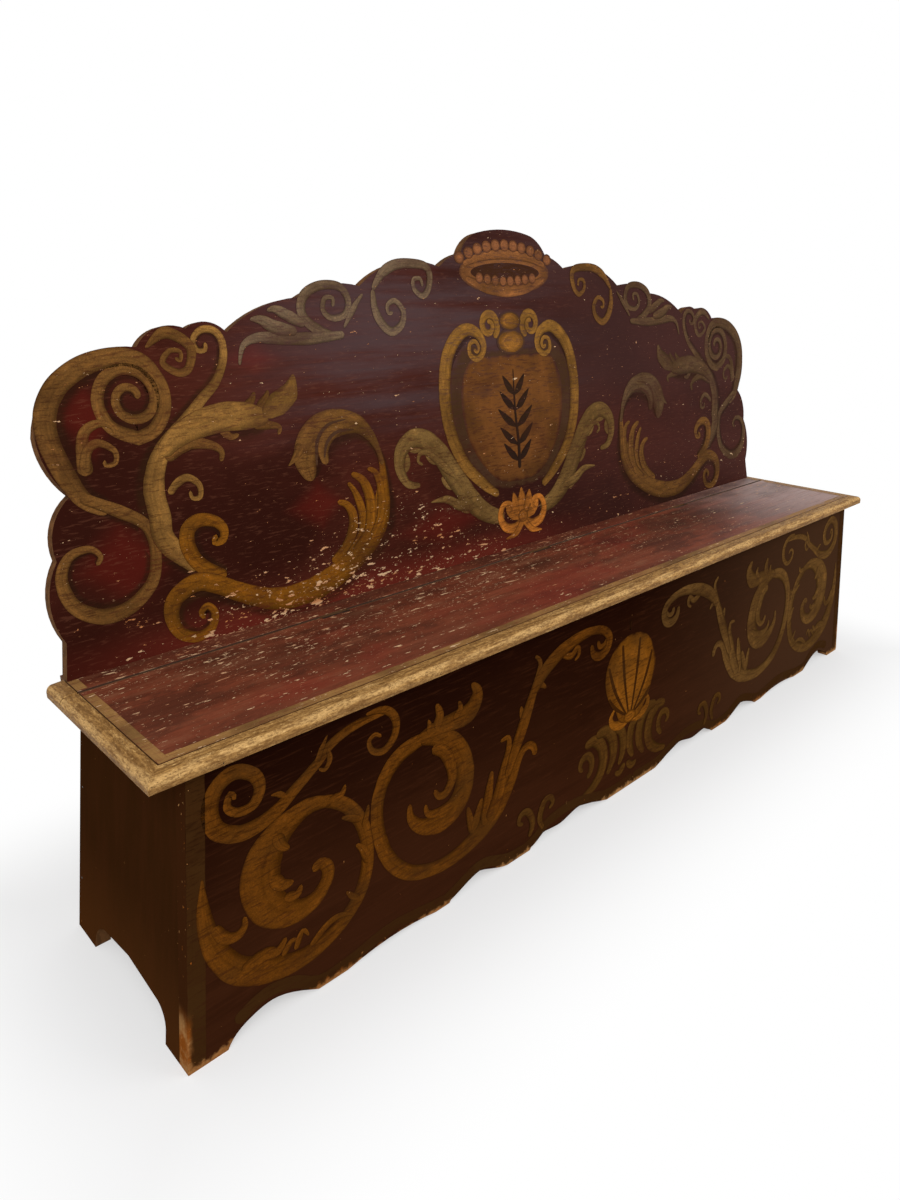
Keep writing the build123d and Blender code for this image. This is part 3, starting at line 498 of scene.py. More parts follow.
def brush_finish(name, ground):
    """Brushed ornament: its shading follows the brush, and the board's wear runs through it."""
    material, nodes = new_finish(name)
    paint = ground(nodes)
    brush = nodes.node("ShaderNodeUVMap", {"uv_map": "brush"})
    tone = nodes.node("ShaderNodeAttribute", {"attribute_name": "brush_colour"})
    relief = nodes.node("ShaderNodeAttribute", {"attribute_name": "brush_colour"}, output=3)
    across = nodes.split(brush)[1]
    hairs = nodes.noise(1.0, (9, 11, 1), detail=5, rough=0.6, vector=brush)
    dabs = nodes.noise(1.0, (38, 3, 1), detail=3, shift=2.0, vector=brush)
    lie = across + 0.12 * hairs - 0.06
    modelling = nodes.node(
        "ShaderNodeValToRGB",
        {
            "stops": [
                (0.0, 0.34),
                (0.10, 0.46),
                (0.22, 0.78),
                (0.38, 0.90),
                (0.46, 0.72),
                (0.54, 0.90),
                (0.78, 1.0),
                (0.93, 0.85),
                (1.0, 0.6),
            ]
        },
        {0: lie},
    )
    colour = nodes.mix(relief, tone, nodes.mix(1.0, tone, modelling, "MULTIPLY"))
    colour = nodes.mix(nodes.step(hairs, 0.5, 0.8) * 0.35, colour, srgb(40, 22, 8))
    lit = nodes.mix(1.0, colour, (1.8, 1.72, 1.5, 1.0), "MULTIPLY")
    colour = nodes.mix(nodes.step(dabs, 0.5, 0.74) * 0.8 * relief, colour, lit)
    flecks = nodes.step(nodes.noise(420, detail=4, rough=0.7, shift=4.1), 0.46, 0.62)
    colour = nodes.mix(flecks * 0.5 * relief, colour, lit)
    patina = nodes.noise(11, (0.6, 1, 1), detail=5, shift=3.7)
    fine = nodes.noise(250, (0.14, 1, 1), detail=5, rough=0.72, shift=1.2)
    colour = nodes.mix(nodes.step(patina, 0.42, 0.66) * 0.55, colour, srgb(60, 38, 16))
    rim = (across & (1.0 - across)) + 0.12 * dabs - 0.05
    soft = nodes.step(relief, 0.0, -1.0)
    firm = nodes.step(rim, -0.01, 0.05)
    faint = 0.7 * nodes.step(rim, 0.0, 0.42)
    cover = firm + soft * (faint - firm)
    thin = nodes.noise(22, (0.4, 1, 1), detail=5, shift=8.0)
    cover = cover * (1.0 - 0.4 * nodes.step(thin, 0.52, 0.72))
    cover = cover * (1.0 - 0.55 * nodes.step(fine, 0.5, 0.62))
    colour = nodes.mix(cover, paint["colour"], colour)
    colour = nodes.mix(paint["chips"], colour, paint["chip_colour"])
    height = paint["height"] + 0.4 * hairs * cover
    nodes.surface(colour, paint["roughness"] + 0.08 * cover, height, paint["gloss"])
    return material


def gilt_finish(name, stretch):
    """Worn gold of the mouldings: lighter where rubbed and with a painted highlight on the round, painted
    shade on the faces below, dirty in the hollows, flecked with black.
    """
    material, nodes = new_finish(name)
    z = nodes.split(nodes.point())[2]
    facing = nodes.facing()
    cloud = nodes.noise(20, stretch, detail=6, rough=0.6)
    streak = nodes.noise(190, stretch, detail=6, rough=0.7, shift=2.9)
    grit = nodes.noise(520, detail=3, rough=0.7, shift=5.5)
    rub = nodes.noise(85, stretch, detail=5, rough=0.65, shift=7.3)
    colour = nodes.mix(nodes.step(streak, 0.36, 0.64), srgb(118, 82, 42), colours().gilt)
    colour = nodes.mix(nodes.step(cloud, 0.46, 0.7) * 0.5, colour, srgb(126, 88, 44))
    # Painted highlight: the rounded nose of the moulding, turned towards the light, is lightened along with
    # the rubbed parts
    round_top_highlight = nodes.step(facing[2], 0.98, 0.80) * nodes.step(facing[2], 0.1, 0.45)
    light = nodes.step(rub + 0.16 * round_top_highlight, 0.52, 0.70)
    colour = nodes.mix(light * 0.6, colour, colours().gilt_rubbed_highlight)
    pits = nodes.noise(330, (stretch[0] ** 0.5, stretch[1] ** 0.5, 1), detail=5, rough=0.75, shift=9.1)
    colour = nodes.mix(nodes.step(pits, 0.47, 0.6) * 0.6, colour, srgb(98, 64, 28))
    glint = nodes.step(pits, 0.42, 0.32)
    colour = nodes.mix(glint * 0.7, colour, srgb(236, 194, 128))
    # Painted shade: faces of the moulding that look down are darkened
    underside_shade = nodes.step(facing[2], 0.25, -0.35)
    colour = nodes.mix(underside_shade * 0.8, colour, colours().gilt_underside_shade)
    deep = nodes.step(z, MOULDING_HOLLOW_Z, MOULDING_HOLLOW_Z - 0.8 * MM)
    hollow = deep * nodes.step(facing[2], 0.93, 0.99)
    dirt = nodes.step(grit + 0.35 * (rub - 0.5), 0.60, 0.68) | hollow
    colour = nodes.mix(dirt * 0.8, colour, srgb(58, 34, 14))
    nodes.surface(colour, 0.42 + 0.25 * grit, grit * 0.4 + streak * 0.5 - pits * 0.6, 0.08)
    return material


def wood_finish(name, along):
    """Bare boards."""
    material, nodes = new_finish(name)
    wood = wood_ground(nodes, along)
    nodes.surface(wood["colour"], wood["roughness"], wood["height"], 0.05)
    return material


def iron_finish(name, scale):
    """Dark wrought iron with rust."""
    material, nodes = new_finish(name)
    rust = nodes.noise(scale, detail=5, rough=0.65)
    hammered = nodes.noise(220, detail=2, shift=4.0)
    patch = nodes.step(rust, 0.5, 0.66)
    colour = nodes.mix(patch, colours().iron, colours().rust)
    nodes.surface(colour, 0.45 + 0.35 * patch, hammered, 0.4, metal=0.75 - 0.6 * patch)
    return material


# Each finish's maker, with the ground, the stretch of the grain, its axis or the scale that the maker needs
finish_makers = {
    "painted_back_board": (board_finish, back_ground),
    "painted_front_board": (board_finish, front_ground),
    "painted_end_board": (board_finish, end_ground),
    "painted_seat_board": (board_finish, seat_ground),
    "back_brushwork": (brush_finish, back_ground),
    "front_brushwork": (brush_finish, front_ground),
    "seat_brushwork": (brush_finish, seat_ground),
    "long_worn_gilt": (gilt_finish, (0.16, 1, 1)),
    "deep_worn_gilt": (gilt_finish, (1, 0.16, 1)),
    "long_bare_board": (wood_finish, 0),
    "deep_bare_board": (wood_finish, 1),
    "upright_bare_board": (wood_finish, 2),
    "wrought_iron": (iron_finish, 90),
}


def finish(name):
    """A finish by name, made the first time it is asked for."""
    made = bpy.data.materials.get(name)
    if made is None:
        maker, setting = finish_makers[name]
        made = maker(name, setting)
    return made


# The faces that carry ornament: a place across and up the face, in mm, to a point in metres


def on_back(x, up, lift):
    """A point of the back's show face."""
    return Vector(
        (
            x * MM,
            BACK_FOOT_Y + up * MM * sin(BACK_RECLINE) - lift * cos(BACK_RECLINE),
            SEAT_TOP + up * MM * cos(BACK_RECLINE) + lift * sin(BACK_RECLINE),
        )
    )


def on_front(x, up, lift):
    """A point of the front's show face."""
    return Vector(
        (
            x * MM,
            FRONT_FOOT_Y + up * MM * sin(FRONT_LEAN) - lift * cos(FRONT_LEAN),
            up * MM * cos(FRONT_LEAN) + lift * sin(FRONT_LEAN),
        )
    )


def on_seat(x, y, lift):
    """A point of the seat's top."""
    return Vector((x * MM, y * MM, SEAT_TOP + lift))


def flowing(points, step, closed=False):
    """A smooth line through points, as close points of even spacing."""
    count = len(points)
    line = []
    for index in range(count if closed else count - 1):
        if closed:
            near = [points[(index + shift) % count] for shift in (-1, 0, 1, 2)]
        else:
            near = [points[min(max(index + shift, 0), count - 1)] for shift in (-1, 0, 1, 2)]
        before, start, end, after = (Vector(point) for point in near)
        parts = max(2, ceil((end - start).length / step))
        for part in range(parts):
            t = part / parts
            line.append(
                0.5
                * (
                    2 * start
                    + (end - before) * t
                    + (2 * before - 5 * start + 4 * end - after) * t * t
                    + (3 * start - before - 3 * end + after) * t * t * t
                )
            )
    line.append(Vector(points[0] if closed else points[-1]))
    return line


def spiral(centre, outer, inner, start, turns):
    """Points of a spiral: degrees at its start, turns against the clock where positive."""
    count = max(6, ceil(abs(turns) * 9))
    points = []
    for index in range(count + 1):
        share = index / count
        angle = radians(start) + 2 * pi * turns * share
        reach = outer + (inner - outer) * share
        points.append((centre[0] + reach * cos(angle), centre[1] + reach * sin(angle)))
    return points


def oval(centre, half_width, half_height, count=10):
    """Points of an oval."""
    angles = [2 * pi * number / count for number in range(count)]
    return [(centre[0] + half_width * cos(turn), centre[1] + half_height * sin(turn)) for turn in angles]


# How a stroke is laid: wider than its line says, narrowest at its ends, its grain moved on by its start
brush_spread = 1.14
narrowest_end = 0.15
grain_shift = 0.013
middle_light = 0.62

# How much of the brush's own shading a stroke shows; below 0 it is a soft shadow
shadow_relief = -1.0
plain_relief = 0.0
line_relief = 0.25


def scaled(width, *shares):
    """Widths along a stroke, as shares of one width."""
    return [width * share for share in shares]


def face_order(face, count):
    """A number that puts faces in the order of their points, the same in every run."""
    first, second, third = sorted(vert.index for vert in face.verts)[:3]
    return (first * count + second) * count + third


class Brushwork:
    """Brush strokes and painted patches on one face, kept in one thin mesh."""

    def __init__(self, name, place):
        self.name = name
        self.place = place
        self.mesh = bmesh.new()
        self.map = self.mesh.loops.layers.uv.new("brush")
        self.tone = self.mesh.verts.layers.float_color.new("brush_colour")
        self.lift = sizes().paint_thickness
        self.shadow_lift = -0.5 * sizes().paint_thickness

    def sheet(self, columns, rows, tone, relief, put, lift):
        """A grid whose every point put(along, across) sends to a place and a brush position."""
        made = bmesh.ops.create_grid(self.mesh, x_segments=columns, y_segments=rows, size=0.5)
        verts = made["verts"]
        low = [min(vert.co[axis] for vert in verts) for axis in (0, 1)]
        high = [max(vert.co[axis] for vert in verts) for axis in (0, 1)]
        positions = {}
        for vert in verts:
            along, across = ((vert.co[axis] - low[axis]) / (high[axis] - low[axis]) for axis in (0, 1))
            place, position = put(along, across)
            vert.co = self.place(place[0], place[1], lift)
            vert[self.tone] = (*srgb(*ornament_tones[tone])[:3], relief)
            positions[vert] = position
        for face in {face for vert in verts for face in vert.link_faces}:
            for loop in face.loops:
                loop[self.map].uv = positions[loop.vert]
        return verts

    def next_lift(self):
        """The height of the next stroke, above the ones before it."""
        self.lift += sizes().paint_layer
        return self.lift

    def stroke(self, tone, widths, points, relief=1.0, shadow=False, square=False):
        """A brush stroke along a line: widths in mm spread evenly along it, and round or square ends."""
        line = flowing(points, sizes().brush_step / MM)
        last = len(line) - 1
        run = [0.0]
        for index in range(last):
            run.append(run[-1] + (line[index + 1] - line[index]).length)
        ways = []
        for index in range(last + 1):
            way = line[min(index + 1, last)] - line[max(index - 1, 0)]
            ways.append(way.normalized() if way.length else Vector((1, 0)))
        turning = sum(a.x * b.y - a.y * b.x for a, b in zip(ways, ways[1:]))
        inner = 1 if turning > 0 else -1
        offset = sum(points[0]) * grain_shift

        def put_beside(shift, span):
            """Sends a grid to a band beside the line: how far off and how wide, in stroke widths."""

            def put(along, across):
                index = round(along * last)
                share = run[index] / run[-1] * (len(widths) - 1)
                lower = min(int(share), len(widths) - 2)
                width = widths[lower] + (widths[lower + 1] - widths[lower]) * (share - lower)
                end = min(1.0, min(run[index], run[-1] - run[index]) / (0.5 * width + 0.1))
                end = 1.0 if square else end
                width *= brush_spread * max(narrowest_end, sqrt(1 - (1 - end) ** 2))
                side = Vector((-ways[index].y, ways[index].x)) * inner
                place = line[index] + side * width * (shift + span * (0.5 - across))
                return place, (run[index] * MM + offset, across)

            return put

        if shadow:
            self.shadow_lift += 0.2 * sizes().paint_layer
            self.sheet(last, 2, "umber", shadow_relief, put_beside(0.55, 0.9), self.shadow_lift)
        self.sheet(last, 2, tone, relief, put_beside(0.0, 1.0), self.next_lift())

    def patch(self, tone, outline, relief=1.0, centre=None):
        """A filled patch inside an outline."""
        middle = Vector(centre or [sum(part) / len(outline) for part in zip(*outline)])
        line = flowing(outline, 2 * sizes().brush_step / MM, closed=True)
        last = len(line) - 1

        def put(along, across):
            index = round(along * last)
            place = middle + (line[index] - middle) * across
            fall = middle_light if across > 0.5 else 0.3
            return place, (place.x * MM, middle_light - fall * across)

        verts = self.sheet(last, 4, tone, relief, put, self.next_lift())
        bmesh.ops.remove_doubles(self.mesh, verts=verts, dist=0.01 * MM)

    def leaf(self, tone, width, points, lobes, side):
        """A curling leaf: lobes along one side of its line, and the leaf's body over them."""
        line = flowing(points, sizes().brush_step / MM)
        last = len(line) - 1
        for number in range(lobes):
            share = 0.22 + 0.58 * number / max(lobes - 1, 1)
            index = int(share * last)
            way = (line[min(index + 3, last)] - line[max(index - 3, 0)]).normalized()
            out = Vector((-way.y, way.x)) * side
            root = line[index]
            reach = width * (1.0 - 0.35 * share)
            tip = root + way * reach * 0.9 + out * reach * 0.72
            bend = root + way * reach * 0.25 + out * reach * 0.5
            self.stroke(tone, scaled(width, 0.5, 0.56, 0.46, 0.2), [root, bend, tip])
        self.stroke(tone, scaled(width, 0.6, 0.95, 1.0, 0.85, 0.6, 0.2), points)

    def make_piece(self, body, material):
        """Gives the strokes their thickness and makes them one piece."""
        raised = bmesh.ops.extrude_face_region(self.mesh, geom=self.mesh.faces[:], use_keep_orig=True)
        tops = [part for part in raised["geom"] if isinstance(part, bmesh.types.BMVert)]
        outward = self.place(0, 0, sizes().paint_thickness * 0.6) - self.place(0, 0, 0)
        bmesh.ops.translate(self.mesh, verts=tops, vec=outward)
        bmesh.ops.recalc_face_normals(self.mesh, faces=self.mesh.faces[:])
        self.mesh.verts.index_update()
        self.mesh.faces.sort(key=partial(face_order, count=len(self.mesh.verts)))
        data = bpy.data.meshes.new(self.name)
        self.mesh.to_mesh(data)
        self.mesh.free()
        data.materials.append(finish(material))
        piece = bpy.data.objects.new(self.name, data)
        bpy.context.scene.collection.objects.link(piece)
        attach(piece, body)


def turned(points, side, scale=1.0):
    """Points of the left half, as they are, or turned over and scaled across for the right half."""
    reach = scale if side > 0 else 1.0
    return [(-side * x * reach, up) for x, up in points]


# Left half of the back, from its end inwards, in mm across from the middle and up from the seat

edge_band = [
    (-900, 236), (-936, 262), (-961, 329), (-963, 375), (-946, 410), (-919, 433), (-885, 448), (-842, 454),
    (-811, 445), (-792, 421), (-785, 395), (-790, 368), (-808, 345), (-832, 336),
]
edge_hook = [(-923, 291), (-917, 345), (-896, 362), (-875, 358), (-869, 345)]
edge_volute = [
    (-923, 295), (-915, 325), (-896, 335), (-875, 321), (-877, 304), (-892, 302), (-892, 310),
]
low_scroll = [
    (-938, 262), (-885, 232), (-850, 205), (-842, 165), (-855, 118), (-895, 87), (-940, 82),
    (-978, 108), (-987, 150), (-970, 180), (-940, 186), (-926, 172), (-934, 160),
]
stem = [
    (-781, 118), (-823, 175), (-825, 214), (-827, 252), (-819, 283), (-804, 310), (-781, 333),
    (-758, 352), (-723, 383), (-696, 406), (-681, 429), (-673, 452), (-675, 475), (-688, 487),
    (-708, 486), (-722, 472), (-717, 457), (-704, 457), (-702, 468),
]
lobe_volute = [
    (-800, 464), (-765, 485), (-729, 464), (-735, 433), (-754, 425), (-777, 441), (-763, 458),
    (-746, 456), (-748, 443), (-756, 448),
]
stem_leaf = [(-806, 306), (-775, 330), (-735, 345), (-690, 352), (-645, 349), (-608, 344)]
stem_leaf_tip = [(-618, 348), (-590, 362), (-562, 380), (-549, 409)]
stem_leaf_lobes = [
    ([(-800, 300), (-758, 318), (-719, 310), (-704, 298), (-708, 283)], 17),
    ([(-640, 334), (-605, 330), (-590, 324), (-595, 313)], 13),
    ([(-650, 360), (-636, 374), (-628, 386)], 13),
    ([(-626, 360), (-610, 374), (-602, 387)], 12),
    ([(-700, 336), (-684, 320), (-668, 322)], 12),
]
stem_volute = [
    (-804, 245), (-788, 260), (-769, 266), (-752, 252), (-754, 233), (-767, 233), (-769, 245),
]
low_volute = [
    (-731, 98), (-773, 125), (-788, 156), (-785, 183), (-765, 196), (-738, 191), (-723, 175),
    (-727, 158), (-742, 156), (-737, 168),
]
great_scroll = [
    (-781, 37), (-786, 48), (-773, 56), (-763, 41), (-773, 18), (-800, 10), (-827, 25), (-836, 56),
    (-823, 83), (-788, 98), (-758, 91), (-704, 60), (-650, 37), (-600, 32), (-550, 38), (-500, 55),
    (-452, 83), (-415, 116), (-394, 152), (-384, 192), (-380, 232), (-387, 264),
]
great_widths = (8, 12, 15, 19, 24, 27, 28, 29, 32, 36, 38, 40, 40, 42, 46, 44, 30, 15, 8)
great_head = [
    (-379, 232), (-388, 266), (-404, 293), (-430, 314), (-468, 320), (-506, 313), (-534, 292),
    (-547, 263), (-540, 226),
]
great_lobe = [(-458, 312), (-492, 300), (-508, 278), (-506, 250)]
great_point = [(-552, 292), (-566, 272), (-584, 258)]
great_veins = [
    [(-452, 324), (-492, 318), (-518, 294), (-526, 250)],
    [(-436, 304), (-474, 304), (-498, 288), (-508, 262)],
]
great_leaves = [
    [(-520, 74), (-486, 96), (-466, 124), (-462, 152), (-473, 172), (-492, 180)],
    [(-486, 78), (-452, 106), (-440, 134), (-442, 166), (-452, 194), (-464, 211)],
    [(-470, 82), (-434, 110), (-421, 142), (-418, 176), (-430, 210), (-454, 226)],
    [(-424, 104), (-401, 134), (-392, 168), (-391, 200), (-400, 222), (-416, 230)],
]
upper_scroll = [
    (-438, 465), (-485, 479), (-515, 504), (-508, 535), (-473, 552), (-431, 550), (-415, 527),
    (-425, 504), (-454, 498), (-471, 511), (-465, 531), (-448, 531), (-450, 517),
]
upper_leaves = [
    [(-432, 470), (-500, 466), (-560, 468), (-608, 471), (-636, 460), (-648, 430)],
    [(-530, 478), (-570, 486), (-598, 499), (-617, 500)],
    [(-512, 488), (-545, 505), (-568, 515), (-583, 513)],
]
upper_bridge = [(-431, 481), (-404, 515), (-381, 538)]
crest_band = [
    (-357, 545), (-334, 571), (-303, 587), (-265, 591), (-226, 587), (-215, 571), (-222, 545),
    (-238, 533), (-257, 545), (-257, 562), (-240, 564), (-236, 550),
]
crest_spiral = [
    (-357, 545), (-357, 514), (-345, 487), (-322, 471), (-297, 483), (-290, 506), (-307, 525),
    (-326, 518), (-326, 504), (-315, 505),
]


# Tones of the scrolls, stem, great scroll, upper leaves and crest, brighter on the left half
back_half_tones = {
    -1: ("ochre", "stem", "gold", "grey", "grey"),
    1: ("dull", "dull", "ochre", "dull", "ochre"),
}


class PaintBackScrolls(bpy.types.Operator):
    """Paints the scrollwork on both halves of the back"""

    bl_idname = "bench.paint_back_scrolls"
    bl_label = "Back Scrolls"

    def execute(self, context):
        for side, name in ((-1, "back_scrolls_left"), (1, "back_scrolls_right")):
            work = Brushwork(name, on_back)
            drawn = partial(turned, side=side)
            ochre, stem_tone, gold, grey, crest = back_half_tones[side]
            band = edge_band + spiral((-836, 393), 56, 10, -95, -1.75)
            work.stroke(ochre, (18, 28, 28, 26, 23, 20, 18, 16, 15, 13, 10), drawn(band), shadow=True)
            work.stroke(ochre, (22, 17, 12, 3), drawn(edge_hook))
            work.stroke(ochre, (16, 13, 10, 7, 5), drawn(edge_volute))
            work.stroke(ochre, (14, 18, 16, 17, 20, 22, 18, 12, 6), drawn(low_scroll), shadow=True)
            work.stroke(stem_tone, (14, 30, 32, 30, 24, 18, 15, 13, 12, 9, 6), drawn(stem), shadow=True)
            work.stroke(ochre, (4, 16, 15, 12, 10, 7, 5), drawn(lobe_volute))
            for points, width in stem_leaf_lobes:
                work.stroke(ochre, scaled(width, 1.0, 1.1, 0.8, 0.4), drawn(points))
            work.stroke(stem_tone, (20, 30, 38, 42, 40, 22), drawn(stem_leaf), shadow=True)
            work.stroke(stem_tone, (18, 36, 32, 6), drawn(stem_leaf_tip))
            work.stroke(stem_tone, (10, 12, 10, 8, 5), drawn(stem_volute))
            work.stroke(gold, (14, 22, 24, 20, 15, 8), drawn(low_volute), shadow=True)
            work.stroke(gold, great_widths, drawn(great_scroll), shadow=True)
            work.stroke(ochre, (8, 12, 22, 34, 44, 50, 50, 42, 18), drawn(great_head), shadow=True)
            work.stroke(ochre, (20, 13, 2), drawn(great_point))
            work.stroke(ochre, (12, 22, 22, 13), drawn(great_lobe))
            for points in great_veins:
                work.stroke("shade", (2, 5, 6, 3), drawn(points), plain_relief)
            for points, width in zip(great_leaves, (17, 15, 19, 15)):
                work.stroke(gold, scaled(width, 0.7, 1.0, 1.15, 1.0, 0.45), drawn(points))
            work.stroke(grey, (8, 17, 16, 14, 13, 11, 9, 6), drawn(upper_scroll))
            for points, width in zip(upper_leaves, (19, 21, 18)):
                work.stroke(grey, [*scaled(width, 0.6, 1.0, 0.9), 4], drawn(points))
            work.stroke(grey, (4, 12, 4), drawn(upper_bridge))
            work.stroke(crest, (8, 17, 16, 14, 12, 9, 6), drawn(crest_band))
            work.stroke(crest, (8, 16, 15, 12, 9, 6), drawn(crest_spiral))
            work.make_piece("base", "back_brushwork")
        return {"FINISHED"}


# Cartouche in the middle of the back

cartouche_frame = [
    (-112, 430), (-104, 424), (-98, 432), (-106, 444), (-122, 440), (-124, 420), (-106, 410), (-88, 420),
    (-84, 440), (-99, 460), (-130, 468), (-161, 452), (-184, 425), (-197, 391),
    (-203, 352), (-203, 314), (-197, 275), (-184, 237), (-161, 198), (-134, 171), (-103, 145), (-72, 125),
]
cartouche_shadow = [
    (-60, 425), (-130, 440), (-172, 405), (-190, 350), (-190, 295), (-172, 235), (-130, 180), (-70, 138),
]
cartouche_field = [(-55, 412), (-122, 408), (-154, 362), (-158, 300), (-140, 236), (-102, 184), (-50, 150)]
side_leaf = [
    (-61, 72), (-111, 91), (-149, 121), (-180, 160), (-207, 198), (-234, 237), (-265, 264),
    (-299, 271), (-330, 252), (-338, 218), (-322, 187), (-291, 179),
]
side_leaf_inner = [
    (-195, 180), (-222, 205), (-246, 226), (-266, 240), (-284, 240), (-290, 226), (-279, 218),
]
side_leaf_under = [(-150, 112), (-190, 122), (-225, 140), (-268, 141)]
cartouche_middle = (0, 290)
cartouche_jewels = [(440, 44, 27), (481, 34, 20)]
sprig_relief = 0.4
sprig_stem = [(0, 172), (2, 230), (-2, 300), (0, 384)]
sprig_leaves = [(205, 44), (240, 52), (278, 54), (314, 46), (346, 34)]
foot_scroll = [(0, 58), (-28, 44), (-58, 50), (-72, 74), (-62, 98), (-40, 100), (-32, 84), (-44, 76)]
foot_curl = [(0, 60), (-26, 32), (-60, 24)]
foot_leaves = [(-52, 104), (-26, 122), (0, 130), (26, 122), (52, 104)]
foot_root = 62


class PaintCartouche(bpy.types.Operator):
    """Paints the cartouche with its leaves, sprig and foot"""

    bl_idname = "bench.paint_cartouche"
    bl_label = "Cartouche"

    def execute(self, context):
        work = Brushwork("cartouche", on_back)
        for tone, outline, relief in (
            ("shade", cartouche_shadow, 0.25),
            ("field", cartouche_field, 0.35),
        ):
            both = outline + [(-x, up) for x, up in reversed(outline)]
            work.patch(tone, both, relief, cartouche_middle)
        for side in (-1, 1):
            work.leaf("leaf", 44, turned(side_leaf, side), 5, -side)
            work.stroke("leaf", (4, 16, 16, 12, 8, 5), turned(side_leaf_inner, side))
            work.stroke("leaf", (16, 20, 14, 2), turned(side_leaf_under, side))
            widths = (7, 9, 13, 20, 27, 28, 28, 28, 27, 25, 22, 14)
            work.stroke("frame", widths, turned(cartouche_frame, side), shadow=True)
            crest = spiral((-64, 474), 28, 6, -60, 1.5)
            work.stroke("frame", (14, 17, 14, 9), turned(crest, side))
            for up, reach in sprig_leaves:
                leaf = [(0, up - 16), (-reach * 0.5, up + 2), (-reach, up + 26)]
                work.stroke("dark", (3, 15, 12, 2), turned(leaf, side), sprig_relief)
        work.stroke("dark", (9, 7, 5, 2), sprig_stem, sprig_relief)
        for up, half_width, half_height in cartouche_jewels:
            work.patch("shade", oval((0, up), half_width, half_height), plain_relief)
            work.patch("jewel", oval((0, up), half_width * 0.88, half_height * 0.86), 0.9)
        for x, up in foot_leaves:
            base = (x * 0.25, foot_root)
            bend = (x * 0.75, foot_root + (up - foot_root) * 0.5)
            work.stroke("orange", (8, 24, 22, 4), [base, bend, (x, up)])
        for side in (-1, 1):
            work.stroke("orange", (18, 20, 18, 14, 10, 6), turned(foot_scroll, side))
            work.stroke("orange", (16, 14, 3), turned(foot_curl, side))
        work.patch("orange", oval((0, 66), 16, 14))
        work.make_piece("base", "back_brushwork")
        return {"FINISHED"}


# Coronet; for each row of pearls: their number, half length, height, rise to its ends, half width and
# half height of a pearl

crown_middle = (0, 577)
crown_pearls = [(11, 132, 630, -26, 14, 12), (8, 80, 560, 6, 11, 11)]
crown_rear = [(-122, 592), (-66, 607), (0, 612), (66, 607), (122, 592)]
crown_front = [(-118, 566), (-64, 548), (0, 542), (64, 548), (118, 566)]


class PaintCoronet(bpy.types.Operator):
    """Paints the coronet on the back's top lobe"""

    bl_idname = "bench.paint_coronet"
    bl_label = "Coronet"

    def execute(self, context):
        work = Brushwork("coronet", on_back)
        work.patch("crown", oval(crown_middle, 136, 44, 16), 0.6)
        work.stroke("crown", (10, 16, 18, 16, 10), crown_rear)
        work.patch("hollow", oval(crown_middle, 104, 19, 14), 0.2)
        work.stroke("crown", (10, 20, 24, 20, 10), crown_front)
        for count, reach, up, rise, half_width, half_height in crown_pearls:
            for number in range(count):
                across = -1 + 2 * number / (count - 1)
                middle = (reach * across, up + rise * across * across)
                work.patch("pearl", oval(middle, half_width, half_height, 8))
        work.make_piece("base", "back_brushwork")
        return {"FINISHED"}


# Left half of the front, in mm across from the middle and up from the floor

top_volute = [
    (-660, 417), (-714, 417), (-760, 405), (-791, 382), (-829, 359), (-860, 340), (-895, 330),
    (-925, 332), (-952, 351), (-958, 382), (-945, 411), (-918, 423), (-891, 409), (-883, 386),
    (-895, 365), (-918, 363), (-933, 376), (-927, 394), (-920, 384),
]
top_hook = [
    (-698, 426), (-671, 424), (-652, 414), (-642, 394), (-648, 370), (-669, 355), (-690, 362),
    (-696, 380), (-684, 388), (-672, 380),
]
top_thorns = [
    [(-845, 352), (-855, 362), (-868, 366)],
    [(-790, 384), (-780, 402), (-768, 420)],
]
top_tendril = [(-770, 398), (-768, 380), (-778, 368), (-788, 374)]
first_ring = [
    (-982, 290), (-987, 240), (-984, 195), (-972, 155), (-950, 121), (-916, 97), (-876, 81), (-838, 77),
    (-800, 84), (-764, 102), (-735, 130), (-719, 165), (-714, 202), (-718, 240), (-731, 272), (-752, 299),
    (-782, 317), (-812, 322),
]
first_crescent = [
    (-770, 312), (-806, 322), (-842, 314), (-874, 294), (-895, 264), (-900, 230), (-892, 196),
    (-870, 172), (-842, 161), (-814, 166), (-794, 184), (-789, 206), (-801, 220), (-815, 213),
]
first_leaves = [
    ([(-866, 304), (-862, 284), (-849, 270)], 18),
    ([(-882, 240), (-868, 219), (-848, 214)], 20),
    ([(-866, 196), (-846, 190), (-836, 202)], 15),
    ([(-976, 210), (-963, 184), (-944, 177), (-932, 187), (-931, 201)], 17),
    ([(-946, 116), (-908, 121), (-887, 114), (-871, 129)], 20),
    ([(-880, 100), (-863, 117), (-850, 111)], 10),
    ([(-858, 98), (-843, 123), (-833, 109)], 10),
    ([(-832, 88), (-802, 107), (-776, 111), (-750, 99)], 12),
    ([(-736, 122), (-750, 133), (-760, 147)], 11),
    ([(-714, 176), (-722, 203), (-735, 219)], 15),
    ([(-722, 258), (-742, 270), (-757, 277)], 12),
    ([(-719, 242), (-711, 260), (-706, 277)], 10),
    ([(-776, 316), (-754, 316), (-745, 329)], 12),
]
second_ring = [
    (-596, 343), (-560, 335), (-526, 311), (-506, 277), (-500, 240), (-510, 206), (-536, 183),
    (-570, 176), (-604, 188), (-624, 212), (-625, 239),
]
second_run = [
    (-570, 341), (-604, 343), (-640, 334), (-668, 312), (-686, 280), (-692, 245), (-689, 208), (-679, 171),
    (-659, 137), (-630, 111), (-590, 95), (-545, 90), (-500, 98), (-456, 116), (-412, 147), (-382, 182),
    (-360, 220), (-338, 231), (-323, 221), (-319, 204),
]
